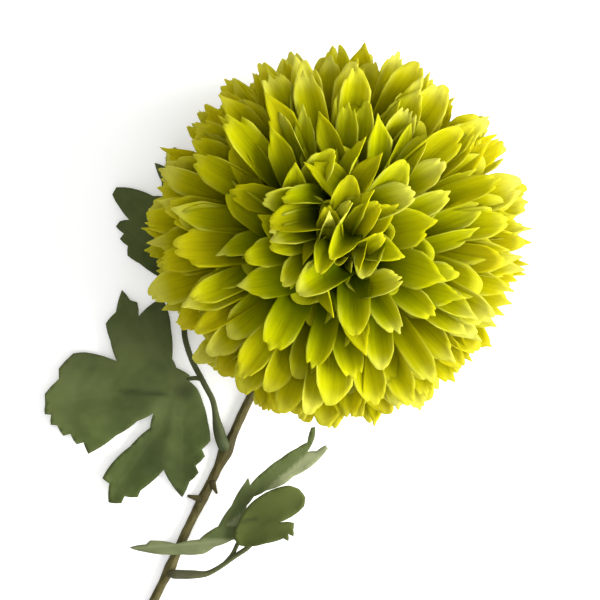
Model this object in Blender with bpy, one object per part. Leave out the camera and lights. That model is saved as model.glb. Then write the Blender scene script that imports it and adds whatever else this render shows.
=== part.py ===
"""Isla chrysanthemum, a cut flower laid down on a surface.

One globe-shaped bloom faces up on its bent neck, and the stem lies along the surface with two
leaf stalks and four lobed leaves. Lengths below are in millimetres and angles in degrees, and
the meshes are made in metres with +Z up. Plan points are measured from the middle of the bloom.
"""

import math
import random

import bmesh
import bpy
from mathutils import Matrix, Vector
from mathutils.geometry import delaunay_2d_cdt

MM = 0.001
GAP = 0.3
# Points of a union closer than this become one
WELD = 0.001

# Where the middle of the bloom stands, from the middle of the whole flower's box
BLOOM_X = 17.81
BLOOM_Y = 70.6

# Envelope of the petal tips
BLOOM_RADIUS = 70.0
BLOOM_WAIST_Z = 41.0
BLOOM_DOME = 52.5
SKIRT_RADIUS = 45.0
SKIRT_Z = 0.8
POLAR_WAIST = 90.0
POLAR_LAST = 130.0
# How far the rim stands out, every 30 degrees from +X towards +Y
RIM_REACH = (1.035, 1.015, 1.005, 1.01, 1.0, 1.005, 1.035, 0.965, 0.96, 1.02, 1.01, 0.985)
# The heart leans towards this azimuth
HEART_LEAN = 8.5
HEART_AZIMUTH = -65.0

# Core that the petals grow from
CORE_Z = 34.0
CORE_RADIUS = 24.0
CORE_HALF_HEIGHT = 20.0
CORE_SIDES = 20
CORE_ROWS = 10

# Petals round the rim, in a spiral from POLAR_SPIRAL down to the surface
PETALS = 196
PETAL_SEED = 11
POLAR_SPIRAL = 56.0
GOLDEN_ANGLE = 137.508
EVEN_SHARE = 0.5
ROOT_SINK = 0.55
ROOT_POLAR_LAST = 114.0
ROOT_SIDEWAYS = 11.0
PETAL_THICK = 1.45
TIP_CUP = 0.3
TIP_JITTER = 2.4
AZIMUTH_JITTER = 8.0
LEAN_JITTER = 8.0
TWIST_JITTER = 26.0
GIRTH_SPREAD = (0.86, 1.12)
# Angle of a petal's tip from the vertical, at each polar angle on the dome
TIP_LEAN = ((0, 8), (12, 34), (22, 50), (35, 66), (55, 80), (90, 98), (115, 112), (130, 94))
# Full width of a petal, at each polar angle
PETAL_WIDTH = ((0, 8.5), (10, 11.0), (25, 13.5), (60, 12.5), (90, 11.5), (130, 12.0))
# Depth of a petal's cup against its width, at each polar angle
PETAL_CUP = ((0, 0.36), (20, 0.28), (45, 0.18), (90, 0.14), (118, 0.12), (130, 0.05))
# Share of a petal's length and of its full width, from root to tip
PETAL_STATIONS = ((0.5, 0.66), (0.8, 1.0), (0.94, 0.8))
# Handles of a petal's arc against its chord, and how far the root may turn inwards and outwards
ARC_HANDLE = 0.38
ARC_TURN_IN = 38.0
ARC_TURN_OUT = 4.0
# Petals past this polar angle lie on the surface with flat undersides up to this height
POLAR_FLOOR = 119.0
FLOOR_FLAT = 3.0
# Petals over the stem are raised to this height, fading out over the last part of this angle
STEM_CLEAR_Z = 9.5
STEM_CLEAR_ANGLE = 24.0
STEM_CLEAR_FADE = 8.0

# Petals set one by one: x and y of the tip, heading, width, lean, twist, depth under the dome, cup
HEART_PETALS = (
    (-1.0, 7.5, 69, 8, 45, 62, 0, 0.20),
    (12.0, 16.0, 60, 9, 58, -62, 1, 0.20),
    (5.5, 10.5, 58, 8, 52, -58, 2, 0.20),
    (-3.5, 8.5, 94, 9, 45, 10, 4, 0.25),
    (-1.0, -10.0, -121, 9.5, 52, 0, 1, 0.50),
    (-7.0, -14.0, -112, 9, 60, 5, 3, 0.40),
    (-12.5, -10.0, -128, 7, 60, 55, 5, 0.20),
    (17.0, 1.0, 33, 9, 64, 38, 3, 0.20),
    (14.5, 11.0, 52, 10, 60, -20, 3, 0.30),
    (23.0, 8.5, 23, 11, 74, 22, 5, 0.22),
    (3.5, 20.0, 82, 10.5, 62, 0, 3, 0.25),
    (-23.0, 3.0, -170, 12.5, 64, 10, 1, 0.36),
    (-23.5, -1.5, -164, 12, 70, 18, 3.5, 0.30),
    (-23.5, -6.0, -160, 11, 76, 10, 6, 0.24),
    (-27.5, 7.5, 149, 12, 80, -5, 8, 0.20),
    (-26.0, 12.5, 174, 11, 68, 0, 4, 0.30),
    (-19.0, 13.0, -178, 9, 62, 35, 2, 0.30),
    (-15.5, 26.0, 90, 9, 60, 0, 5, 0.25),
    (-11.5, 24.5, 144, 10, 66, 38, 4, 0.25),
    (0.0, 29.5, 51, 9, 70, -20, 6, 0.25),
    (10.5, 34.5, 62, 8, 66, -50, 4, 0.20),
    (-13.5, -21.5, -147, 12, 74, 15, 3, 0.36),
    (-18.0, -19.5, -130, 9, 77, 20, 5.5, 0.26),
    (8.0, -13.5, -99, 7, 60, 48, 3, 0.20),
    (10.0, -16.0, -106, 10, 64, 8, 4.5, 0.30),
    (25.0, -8.0, -10, 11, 76, -30, 4, 0.28),
    (24.0, -16.5, 16, 10, 78, -24, 5, 0.26),
    (6.5, -36.0, -89, 12, 78, 0, 5, 0.25),
    (-2.0, -30.0, -77, 8, 76, 55, 6, 0.20),
    (16.0, 28.5, 55, 9.5, 70, -20, 4, 0.22),
    (23.5, 26.5, 56, 11, 72, 18, 4, 0.22),
    (27.5, 15.0, 19, 12.5, 76, -10, 5, 0.20),
)
RING_PETALS = (
    (36.0, 4.5, 11, 15, 80, 5, 4, 0.13),
    (39.5, -15.0, -15, 14, 82, 0, 6, 0.14),
    (35.0, -30.5, -41, 9.5, 82, 14, 7, 0.20),
    (24.0, -35.0, -55, 9.5, 82, 8, 7, 0.30),
    (16.0, -48.5, -86, 10.5, 84, 0, 8, 0.20),
    (-6.5, -48.5, -101, 9.5, 84, -10, 8, 0.22),
    (-25.0, -41.0, -121, 13, 86, 0, 7, 0.14),
    (-39.5, -35.5, -140, 12, 86, 8, 10, 0.14),
    (-35.5, -19.0, -172, 12, 90, 0, 8, 0.20),
    (-32.5, -8.0, -168, 11, 80, 5, 7, 0.22),
    (-43.5, -5.5, -168, 9, 86, 32, 9, 0.18),
    (-47.5, -19.5, -150, 10.5, 88, 10, 11, 0.16),
    (-49.5, -33.0, -139, 12, 90, 0, 13, 0.14),
    (-38.0, 15.5, 167, 10, 78, -10, 6, 0.18),
    (-39.5, 13.5, 147, 11, 82, -8, 8, 0.18),
    (-24.5, 38.5, 113, 9, 78, 0, 6, 0.22),
    (-34.5, 33.0, 101, 8.5, 82, 0, 9, 0.20),
    (-34.0, 38.5, 118, 9, 82, -45, 8, 0.18),
    (-13.5, 46.5, 99, 8, 76, -10, 6, 0.22),
    (-8.0, 43.0, 119, 8.5, 76, -20, 5, 0.22),
    (-20.5, 44.5, 112, 10, 78, -42, 7, 0.18),
    (6.0, 47.5, 84, 9, 78, -10, 7, 0.20),
    (12.0, 47.5, 81, 8, 80, -28, 7, 0.20),
    (14.0, 43.0, 91, 8, 74, 38, 5, 0.20),
    (24.0, 48.0, 58, 8, 84, -38, 9, 0.16),
    (27.5, 45.5, 48, 9, 84, 0, 10, 0.16),
    (27.5, 40.5, 65, 8, 78, 46, 6, 0.18),
    (30.5, 36.5, 62, 8, 80, -18, 8, 0.18),
    (40.0, 24.5, 29, 10, 82, 0, 8, 0.16),
    (40.0, 17.0, 30, 9.5, 80, 32, 6, 0.18),
    (49.5, 35.0, 25, 10, 88, -10, 12, 0.14),
    (50.0, 25.0, 30, 8, 86, 42, 10, 0.16),
    (52.5, 10.0, 22, 9.5, 86, 0, 9, 0.16),
    (51.5, 3.0, 20, 8, 86, 42, 10, 0.16),
    (47.0, -22.0, -10, 9, 86, 18, 10, 0.18),
    (44.0, -15.0, -7, 8, 86, 0, 9, 0.18),
    (11.0, -43.5, -68, 10, 86, -18, 9, 0.18),
    (5.5, -52.5, -78, 11, 86, -14, 10, 0.20),
    (-11.5, -59.5, -99, 11, 90, -10, 14, 0.16),
    (-17.5, -58.5, -109, 9, 90, 10, 15, 0.16),
    (-27.0, -63.5, -117, 10, 92, 0, 18, 0.16),
    (-27.5, -52.5, -126, 8, 88, -55, 12, 0.16),
    (-39.5, -50.5, -129, 9.5, 92, 0, 16, 0.16),
    (-33.5, -55.0, -120, 9, 92, 8, 17, 0.16),
    (-46.5, -47.5, -137, 9, 92, 0, 18, 0.14),
    (-3.5, -70.5, -100, 10, 94, 0, 2, 0.14),
    (4.5, -66.0, -95, 10, 92, 8, 1, 0.16),
    (14.0, -70.0, -94, 9.5, 94, 0, 2, 0.14),
    (23.0, -63.5, -81, 10, 92, -8, 2, 0.16),
    (35.0, -58.5, -67, 10, 92, 0, 2, 0.14),
    (44.0, -53.5, -52, 10, 92, 0, 2, 0.14),
    (50.5, -46.0, -44, 9.5, 92, 8, 2, 0.14),
)

# Calyx under the core
CALYX_NECK_Z = 8.2
CALYX_NECK_RADIUS = 3.4
CALYX_RIM_POLAR = 142.0
CALYX_POLAR_END = 168.0
CALYX_THICK = 1.6
CALYX_LIP_SHARE = 0.6
CALYX_FOOT_SHARE = 1.6
CALYX_ROWS = 5
CALYX_TEETH = 12
CALYX_TOOTH = 9.0

# Stem
STEM_RADIUS = 2.0
STEM_TOP_RADIUS = 2.3
STEM_REST_Z = 2.35
STEM_TAPER_SHARE = 0.33
STEM_SIDES = 10
STEM_STEP = 7.0
STUB_SIDES = 6
STUB_TAPER = (1.0, 0.7, 0.3)
STEM_PATH = (
    (0.0, 0.0, 7.8),
    (0.0, 0.0, 6.7),
    (-1.2, -2.2, 4.2),
    (-5.2, -9.4, 2.7),
    (-13.0, -24.0, STEM_REST_Z),
    (-20.8, -39.0, STEM_REST_Z),
    (-27.8, -52.6, STEM_REST_Z),
    (-34.4, -66.1, STEM_REST_Z),
    (-41.8, -82.5, STEM_REST_Z),
    (-46.8, -92.9, STEM_REST_Z),
    (-55.3, -109.8, STEM_REST_Z),
    (-62.8, -126.3, STEM_REST_Z),
    (-67.7, -136.2, STEM_REST_Z),
    (-79.5, -160.5, STEM_REST_Z),
    (-92.5, -186.0, STEM_REST_Z),
    (-105.5, -211.0, STEM_REST_Z),
)
# Swollen joints on the stem: the share of the path, the half length and the added radius
STEM_JOINTS = ((0.375, 5.0, 0.4), (0.595, 4.0, 0.45), (0.47, 4.0, 0.3))
# Short dry stubs of dropped leaves: foot, tip and foot radius
STEM_STUBS = (
    ((-46.2, -92.2, 3.0), (-44.2, -96.6, 3.6), 1.2),
    ((-49.9, -98.8, 3.0), (-55.4, -97.4, 3.6), 1.4),
)

# Leaf stalks: the path, then the radius at its two ends
STALK_SIDES = 8
STALK_STEP = 4.5
LEFT_STALK = ((-42.8, -77.2, 6.1), (-44.0, -70.4, 5.8), (-45.6, -61.8, 5.0), (-48.2, -56.5, 4.6),
              (-50.6, -52.0, 4.4), (-53.4, -46.7, 4.0), (-55.7, -40.3, 3.4), (-56.6, -34.7, 2.9),
              (-55.9, -27.7, 2.3))
LEFT_STALK_FORK = ((-49.6, -53.6, 4.5), (-51.6, -52.9, 4.7), (-53.6, -53.0, 4.9))
LEFT_STALK_RADII = (1.9, 1.05)
RIGHT_STALK = ((-60.0, -127.0, 4.9), (-53.8, -127.1, 4.7), (-48.5, -126.9, 4.7),
               (-44.7, -125.2, 5.3), (-41.4, -123.0, 6.2), (-37.4, -120.0, 7.6),
               (-33.0, -117.0, 9.4))
RIGHT_STALK_FORK = ((-41.6, -123.2, 6.0), (-38.6, -119.8, 6.2), (-36.3, -115.0, 6.75))
RIGHT_STALK_RADII = (1.75, 0.95)
SHEATH_LENGTH = 12.0
SHEATH_FADE = 1.8
FORK_RADIUS = 0.85

# Leaves
LEAF_THICK = 0.9
LEAF_CELL = 6.5
TOOTH_DEPTH = 2.0
TOOTH_LEAN = 0.7
RIB_REACH = 5.0
# How far each leaf swells between its ribs
SIDE_PUFF = 1.4
BEHIND_PUFF = 0.9
FRONT_PUFF = 1.0
FOLDED_PUFF = 0.8
# Side leaf: height at its foot, drop towards its lobes, and a slow wave
SIDE_FOOT = (-54.4, -53.0)
SIDE_FOOT_Z = 5.5
SIDE_DROP = 3.4
SIDE_DROP_REACH = 48.0
SIDE_WAVE = 0.9
SIDE_WAVE_REACH = 30.0
SIDE_WAVE_TURN = (0.16, 0.11)
# Leaf behind the bloom: flat inside this radius, rising outside it, with a slow wave
BEHIND_Z = 2.2
BEHIND_FLAT_RADIUS = 60.0
BEHIND_RISE = 0.09
BEHIND_WAVE = 0.35
BEHIND_WAVE_TURN = 0.2
# Front leaf: height at its foot, rise away from it, and a slow wave
FRONT_FOOT = (-34.4, -115.2)
FRONT_FOOT_Z = 11.2
FRONT_RISE = 0.16
FRONT_WAVE = 0.6
FRONT_WAVE_TURN = 0.22
# Folded leaf: height up to its fold line, and rise past it
FOLDED_Z = 8.4
FOLDED_LINE_Y = -114.0
FOLDED_RISE = 0.06

# Each outline point: x, y and the number of saw teeth up to the next point
LEAF_SIDE = (
    (-54.4, -51.8, 0), (-59.4, -49.0, 0), (-61.0, -45.6, 0), (-61.6, -34.0, 0),
    (-62.6, -28.0, 0), (-64.9, -22.8, 0), (-68.4, -24.5, 0), (-73.8, -29.5, 1),
    (-77.1, -23.4, 0), (-80.2, -19.6, 0), (-82.4, -28.0, 0), (-86.2, -32.3, 0),
    (-84.5, -38.6, 0), (-82.0, -46.4, 0), (-93.7, -43.2, 0), (-97.6, -43.2, 2),
    (-107.6, -62.8, 2), (-103.6, -70.6, 2), (-94.6, -77.2, 0), (-92.8, -81.6, 0), (-82.2, -74.6, 0),
    (-74.1, -69.1, 0), (-68.2, -66.2, 0), (-69.5, -71.7, 0), (-77.0, -78.7, 0),
    (-84.0, -85.2, 0), (-87.5, -90.8, 0), (-84.9, -92.8, 0), (-85.3, -100.0, 1),
    (-73.0, -95.4, 0), (-64.3, -87.6, 0), (-61.4, -93.1, 0), (-57.4, -98.1, 0),
    (-54.6, -92.2, 2), (-49.8, -79.8, 0), (-46.6, -76.6, 0), (-47.6, -69.4, 0),
    (-49.5, -61.9, 0), (-51.6, -56.8, 0), (-54.4, -54.2, 0),
)
LEAF_SIDE_RIBS = (
    ((-54.4, -53.0), (-68.0, -57.0), (-107.0, -62.0)),
    ((-58.0, -54.0), (-69.0, -42.0), (-79.6, -22.5)),
    ((-58.0, -54.0), (-66.0, -44.0), (-66.0, -25.5)),
    ((-60.0, -55.0), (-66.0, -72.0), (-84.0, -97.0)),
    ((-58.0, -54.5), (-57.5, -72.0), (-57.4, -95.5)),
)

LEAF_BEHIND = (
    (-56.0, -27.2, 0), (-58.8, -19.2, 0), (-63.5, -16.0, 0), (-73.5, -9.6, 0),
    (-78.0, -6.6, 0), (-77.9, -3.0, 2), (-80.9, 6.4, 0), (-77.4, 7.0, 0),
    (-80.8, 11.3, 1), (-82.2, 19.2, 0), (-76.0, 18.8, 0), (-68.2, 15.9, 0),
    (-64.6, 15.8, 0), (-65.1, 21.1, 0), (-67.8, 28.5, 0), (-63.6, 26.9, 1),
    (-60.2, 34.4, 0), (-56.2, 31.6, 0), (-54.6, 20.0, 0), (-53.2, 8.0, 0),
    (-53.2, -6.0, 0), (-54.0, -18.0, 0), (-55.0, -27.2, 0),
)
LEAF_BEHIND_RIBS = (
    ((-55.6, -27.0), (-58.0, -10.0), (-61.0, 31.0)),
    ((-57.0, -15.0), (-64.0, 2.0), (-80.6, 18.0)),
    ((-57.0, -16.0), (-66.0, -7.0), (-79.6, 5.0)),
)

LEAF_FRONT = (
    (-40.0, -111.6, 0), (-35.5, -104.6, 0), (-32.0, -100.4, 0), (-28.6, -97.4, 0),
    (-22.9, -94.2, 0), (-17.2, -92.7, 0), (-13.1, -94.1, 0), (-10.8, -97.2, 0),
    (-11.2, -100.6, 0), (-15.8, -104.6, 0), (-22.6, -107.4, 0), (-18.2, -106.4, 0),
    (-15.0, -106.9, 0), (-15.2, -109.4, 2), (-19.0, -112.8, 0), (-25.9, -114.8, 0),
    (-32.8, -116.2, 0), (-36.4, -115.4, 0),
)
LEAF_FRONT_RIBS = (
    ((-34.4, -115.2), (-27.0, -106.0), (-13.0, -96.5)),
    ((-32.0, -112.6), (-25.0, -109.8), (-16.2, -107.9)),
)

LEAF_FOLDED = (
    (-36.2, -115.2, 0), (-37.6, -113.4, 0), (-45.0, -116.4, 0), (-48.9, -118.9, 0),
    (-56.7, -119.3, 0), (-74.0, -117.8, 0), (-77.1, -116.6, 0), (-70.8, -115.4, 0),
    (-69.2, -113.9, 0), (-59.3, -115.2, 0), (-50.8, -113.6, 0), (-46.5, -110.2, 0),
    (-43.6, -108.6, 0), (-38.6, -100.8, 0), (-33.3, -91.8, 0), (-32.3, -90.2, 0),
    (-31.6, -93.0, 0), (-25.9, -87.4, 0), (-19.9, -82.9, 0), (-13.9, -79.0, 0),
    (-10.1, -76.9, 0), (-8.6, -71.3, 0), (-7.0, -71.0, 0), (-7.4, -75.5, 0),
    (-9.9, -80.4, 0), (-6.6, -80.2, 0), (-3.2, -77.9, 0), (-2.2, -79.2, 0),
    (-8.2, -85.7, 0), (-15.6, -90.0, 0), (-18.7, -92.6, 0), (-25.6, -95.2, 0),
    (-30.2, -97.4, 0), (-32.8, -100.8, 0), (-34.2, -106.0, 0), (-34.8, -113.2, 0),
)
LEAF_FOLDED_RIBS = (
    ((-35.8, -114.4), (-35.6, -103.5), (-28.0, -93.2), (-12.4, -81.2), (-8.2, -73.6)),
    ((-28.0, -93.2), (-19.0, -89.6), (-9.6, -83.2), (-3.8, -79.4)),
    ((-36.6, -113.6), (-47.0, -114.6), (-75.0, -116.8)),
)


def mix(a, b, share):
    """Value part of the way from a to b."""
    return a + (b - a) * share


def read_steps(steps, at):
    """Smooth value of a list of (place, value) pairs at one place."""
    if at <= steps[0][0]:
        return steps[0][1]
    for (left, low), (right, high) in zip(steps, steps[1:]):
        if at <= right:
            share = (at - left) / (right - left)
            share = share * share * (3 - 2 * share) * 0.5 + share * 0.5
            return mix(low, high, share)
    return steps[-1][1]


def smooth_path(points, step):
    """Points along a smooth curve through the given points, about one step apart."""
    knots = [Vector(point) for point in points]
    ends = [knots[0] * 2 - knots[1]] + knots + [knots[-1] * 2 - knots[-2]]
    path = [knots[0]]
    for a, b, c, d in zip(ends, ends[1:], ends[2:], ends[3:]):
        count = max(1, round((c - b).length / step))
        for index in range(1, count + 1):
            t = index / count
            bend = (a * -1 + b * 3 - c * 3 + d) * t * t * t
            sweep = (a * 2 - b * 5 + c * 4 - d) * t * t
            path.append((b * 2 + (c - a) * t + sweep + bend) * 0.5)
    return path


def path_shares(path):
    """Share of the whole length at each point of a path, and the length."""
    lengths = [0.0]
    for a, b in zip(path, path[1:]):
        lengths.append(lengths[-1] + (b - a).length)
    return [length / lengths[-1] for length in lengths], lengths[-1]


def triangle_body(vertices, faces):
    """Closed mesh with its faces pointing out, as vertices and triangles."""
    mesh = bmesh.new()
    made = [mesh.verts.new(vertex) for vertex in vertices]
    for face in faces:
        mesh.faces.new([made[index] for index in face])
    bmesh.ops.recalc_face_normals(mesh, faces=mesh.faces)
    return mesh


def tube_body(path, radii, sides):
    """Closed tube along a path with a radius at each point."""
    vertices = []
    faces = []
    side = Vector((0, 0, 1))
    for index, point in enumerate(path):
        ahead = path[min(index + 1, len(path) - 1)] - path[max(index - 1, 0)]
        ahead.normalize()
        across = side - ahead * side.dot(ahead)
        if across.length < 0.3:
            across = Vector((1, 0, 0)) - ahead * ahead.x
        across.normalize()
        side = across
        over = ahead.cross(across)
        for turn in range(sides):
            angle = math.tau * (turn + 0.5) / sides
            vertices.append(point + (across * math.cos(angle) + over * math.sin(angle)) * radii[index])
    for ring in range(len(path) - 1):
        for turn in range(sides):
            a = ring * sides + turn
            b = ring * sides + (turn + 1) % sides
            faces.append((a, b, b + sides))
            faces.append((a, b + sides, a + sides))
    last = (len(path) - 1) * sides
    for turn in range(1, sides - 1):
        faces.append((0, turn, turn + 1))
        faces.append((last, last + turn, last + turn + 1))
    return triangle_body(vertices, faces)


def material(name, colour, roughness):
    """Matte material with one colour."""
    made = bpy.data.materials.new(name)
    made.use_nodes = True
    shader = made.node_tree.nodes["Principled BSDF"]
    shader.inputs["Base Color"].default_value = (*colour, 1.0)
    shader.inputs["Roughness"].default_value = roughness
    shader.inputs["Metallic"].default_value = 0.0
    return made


def add_object(name, mesh, finish):
    """Object in metres, placed on the bloom's plan point, from a mesh in millimetres."""
    bmesh.ops.scale(mesh, vec=(MM, MM, MM), verts=mesh.verts)
    data = bpy.data.meshes.new(name)
    mesh.to_mesh(data)
    mesh.free()
    if finish:
        data.materials.append(finish)
    made = bpy.data.objects.new(name, data)
    made.location = (BLOOM_X * MM, BLOOM_Y * MM, 0.0)
    bpy.context.scene.collection.objects.link(made)
    return made


def islands(mesh):
    """Connected groups of faces in a mesh."""
    left = set(mesh.faces)
    groups = []
    while left:
        start = left.pop()
        group = [start]
        queue = [start]
        while queue:
            face = queue.pop()
            for edge in face.edges:
                for other in edge.link_faces:
                    if other in left:
                        left.remove(other)
                        group.append(other)
                        queue.append(other)
        groups.append(group)
    return groups


def fuse(body, limbs, finish):
    """Join limbs to a body in one union, and keep only its outer skin."""
    if not limbs:
        return body
    group = bpy.data.collections.new(body.name + "_limbs")
    bpy.context.scene.collection.children.link(group)
    for limb in limbs:
        bpy.context.scene.collection.objects.unlink(limb)
        group.objects.link(limb)
    union = body.modifiers.new("join", "BOOLEAN")
    union.operation = "UNION"
    union.operand_type = "COLLECTION"
    union.collection = group
    union.solver = "MANIFOLD"
    bpy.context.view_layer.update()
    view = bpy.context.evaluated_depsgraph_get()
    joined = bpy.data.meshes.new_from_object(body.evaluated_get(view))
    body.modifiers.remove(union)
    body.data = joined
    for limb in limbs:
        bpy.data.objects.remove(limb)
    bpy.data.collections.remove(group)
    mesh = bmesh.new()
    mesh.from_mesh(joined)
    bmesh.ops.remove_doubles(mesh, verts=mesh.verts, dist=WELD * MM)
    groups = sorted(islands(mesh), key=len)
    spare = [face for piece in groups[:-1] for face in piece]
    bmesh.ops.delete(mesh, geom=spare, context="FACES")
    bmesh.ops.triangulate(mesh, faces=mesh.faces)
    mesh.to_mesh(joined)
    mesh.free()
    joined.materials.clear()
    joined.materials.append(finish)
    return body


def dome_point(polar, azimuth):
    """Radius and height of the tips' envelope at a polar angle and azimuth."""
    sector = (azimuth % 360.0) / 30.0
    low = int(sector) % 12
    reach = mix(RIM_REACH[low], RIM_REACH[(low + 1) % 12], sector - int(sector))
    if polar <= POLAR_WAIST:
        angle = math.radians(polar)
        radius = BLOOM_RADIUS * math.sin(angle)
        height = BLOOM_WAIST_Z + BLOOM_DOME * math.cos(angle)
        reach = mix(1.0, reach, math.sin(angle))
    else:
        down = (polar - POLAR_WAIST) / (POLAR_LAST - POLAR_WAIST)
        radius = mix(BLOOM_RADIUS, SKIRT_RADIUS, down ** 1.6)
        height = mix(BLOOM_WAIST_Z, SKIRT_Z, down ** 0.9)
        reach = mix(reach, 1.0, down)
    return radius * reach, height


def petal_polar(share):
    """Polar angle under which the given share of the petals stands."""
    low = 0.0
    high = POLAR_LAST
    whole = 1 - math.cos(math.radians(POLAR_LAST))
    for _ in range(30):
        polar = (low + high) / 2
        even = (1 - math.cos(math.radians(polar))) / whole
        if EVEN_SHARE * even + (1 - EVEN_SHARE) * polar / POLAR_LAST < share:
            low = polar
        else:
            high = polar
    return low


def stem_azimuth():
    """Azimuth in which the stem leaves the bloom."""
    return math.degrees(math.atan2(STEM_PATH[4][1], STEM_PATH[4][0]))


def spiral_petals():
    """The petals round the rim, from below the ring down to the surface."""
    draw = random.Random(PETAL_SEED)
    for index in range(PETALS):
        polar = petal_polar((index + 0.5) / PETALS)
        azimuth = index * GOLDEN_ANGLE + draw.uniform(-AZIMUTH_JITTER, AZIMUTH_JITTER)
        reach = draw.uniform(-TIP_JITTER, TIP_JITTER)
        lean = draw.uniform(-LEAN_JITTER, LEAN_JITTER)
        twist = draw.uniform(-1.0, 1.0)
        girth = draw.uniform(*GIRTH_SPREAD)
        if polar <= POLAR_SPIRAL:
            continue
        radius, height = dome_point(polar, azimuth)
        angle = math.radians(polar)
        radius += reach * math.sin(angle)
        height += reach * math.cos(angle)
        floor = polar > POLAR_FLOOR
        if floor:
            height = SKIRT_Z
            lean = 0.0
            twist = 0.0
        off_stem = abs((azimuth - stem_azimuth() + 180.0) % 360.0 - 180.0)
        lift = min(1.0, max(0.0, (STEM_CLEAR_ANGLE - off_stem) / STEM_CLEAR_FADE))
        height = max(height, STEM_CLEAR_Z * lift)
        yield {
            "azimuth": math.radians(azimuth),
            "root_polar": math.radians(polar * ROOT_POLAR_LAST / POLAR_LAST),
            "tip": (radius, height),
            "sideways": 0.0,
            "lean": math.radians(read_steps(TIP_LEAN, polar) + lean),
            "twist": math.radians(twist * TWIST_JITTER),
            "width": read_steps(PETAL_WIDTH, polar) * girth,
            "cup": read_steps(PETAL_CUP, polar),
            "floor": floor and lift == 0.0,
            "leaned": max(0.0, math.cos(angle)),
        }


def placed_petals():
    """The petals of the heart and of the ring round it, each set by its own row."""
    for x, y, heading, width, lean, twist, depth, cup in HEART_PETALS + RING_PETALS:
        turn = math.radians(heading)
        share = min(1.0, math.hypot(x, y) / BLOOM_RADIUS)
        height = BLOOM_WAIST_Z + BLOOM_DOME * math.sqrt(1 - share * share) - depth
        yield {
            "azimuth": turn,
            "root_polar": math.asin(share) * ROOT_POLAR_LAST / POLAR_LAST,
            "tip": (x * math.cos(turn) + y * math.sin(turn), height),
            "sideways": y * math.cos(turn) - x * math.sin(turn),
            "lean": math.radians(lean),
            "twist": math.radians(twist),
            "width": width,
            "cup": cup,
            "floor": False,
            "leaned": 0.0,
        }


def heart_turn(share):
    """Rotation about the middle of the dome by a share of the heart's lean."""
    axis = Vector((-math.sin(math.radians(HEART_AZIMUTH)), math.cos(math.radians(HEART_AZIMUTH)), 0))
    return Matrix.Rotation(math.radians(HEART_LEAN) * share, 4, axis)


def petal_path(petal):
    """The four control points of a petal's arc, in the vertical plane of its azimuth."""
    polar = petal["root_polar"]
    root_radius = CORE_RADIUS * math.sin(polar) * ROOT_SINK
    root_height = CORE_Z + CORE_HALF_HEIGHT * math.cos(polar) * ROOT_SINK
    radius, height = petal["tip"]
    chord = math.hypot(radius - root_radius, height - root_height)
    aim = math.atan2(radius - root_radius, height - root_height)
    first = max(2 * aim - petal["lean"], aim - math.radians(ARC_TURN_IN))
    first = min(first, aim + math.radians(ARC_TURN_OUT))
    reach = chord * ARC_HANDLE
    return (
        (root_radius, root_height),
        (root_radius + math.sin(first) * reach, root_height + math.cos(first) * reach),
        (radius - math.sin(petal["lean"]) * reach, height - math.cos(petal["lean"]) * reach),
        (radius, height),
    )


def petal_frame(petal, share):
    """Point, direction, across and face normal of a petal at a share of its length."""
    p0, p1, p2, p3 = (Vector(point) for point in petal_path(petal))
    rest = 1 - share
    point = p0 * rest ** 3 + p1 * 3 * rest ** 2 * share + p2 * 3 * rest * share ** 2 + p3 * share ** 3
    along = (p1 - p0) * rest ** 2 + (p2 - p1) * 2 * rest * share + (p3 - p2) * share ** 2
    along.normalize()
    out = Vector((math.cos(petal["azimuth"]), math.sin(petal["azimuth"]), 0))
    across = Vector((-out.y, out.x, 0))
    bend = petal["sideways"] - min(max(petal["sideways"], -ROOT_SIDEWAYS), ROOT_SIDEWAYS)
    swerve = petal["sideways"] - bend * rest ** 2
    place = out * point.x + across * swerve + Vector((0, 0, point.y))
    ahead = out * along.x + Vector((0, 0, along.y))
    across = Matrix.Rotation(petal["twist"] * share, 3, ahead) @ across
    normal = ahead.cross(across)
    turn = heart_turn(petal["leaned"])
    middle = Vector((0, 0, BLOOM_WAIST_Z))
    place = turn @ (place - middle) + middle
    return place, turn @ ahead, turn @ across, turn @ normal


def petal_body(petal):
    """Closed cupped blade of one petal, thick along its middle."""
    root, _, _, _ = petal_frame(petal, 0.0)
    vertices = [root]
    faces = []
    for share, width in PETAL_STATIONS:
        place, _, across, normal = petal_frame(petal, share)
        half = across * petal["width"] * width / 2
        rise = normal * petal["cup"] * petal["width"] * width
        thick = normal * PETAL_THICK / 2
        vertices += [place - half + rise, place - thick, place + half + rise, place + thick]
    tip, _, _, normal = petal_frame(petal, 1.0)
    vertices.append(tip + normal * petal["cup"] * petal["width"] * TIP_CUP)
    if petal["floor"]:
        for index in range(1, len(vertices)):
            on_top = index % 4 == 0
            if vertices[index].z < FLOOR_FLAT and not on_top:
                vertices[index].z = 0.0
    for turn in range(4):
        after = (turn + 1) % 4
        faces.append((0, 1 + turn, 1 + after))
        for station in range(len(PETAL_STATIONS) - 1):
            a = 1 + station * 4 + turn
            b = 1 + station * 4 + after
            if turn in (0, 3):
                faces += [(a, a + 4, b), (b, a + 4, b + 4)]
            else:
                faces += [(a, b + 4, b), (a, a + 4, b + 4)]
        last = 1 + (len(PETAL_STATIONS) - 1) * 4
        faces.append((last + turn, len(vertices) - 1, last + after))
    return triangle_body(vertices, faces)


def core_body():
    """Closed egg-shaped core of the bloom."""
    mesh = bmesh.new()
    bmesh.ops.create_uvsphere(mesh, u_segments=CORE_SIDES, v_segments=CORE_ROWS, radius=1.0)
    bmesh.ops.scale(mesh, vec=(CORE_RADIUS, CORE_RADIUS, CORE_HALF_HEIGHT), verts=mesh.verts)
    bmesh.ops.translate(mesh, vec=(0, 0, CORE_Z), verts=mesh.verts)
    return mesh


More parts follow.
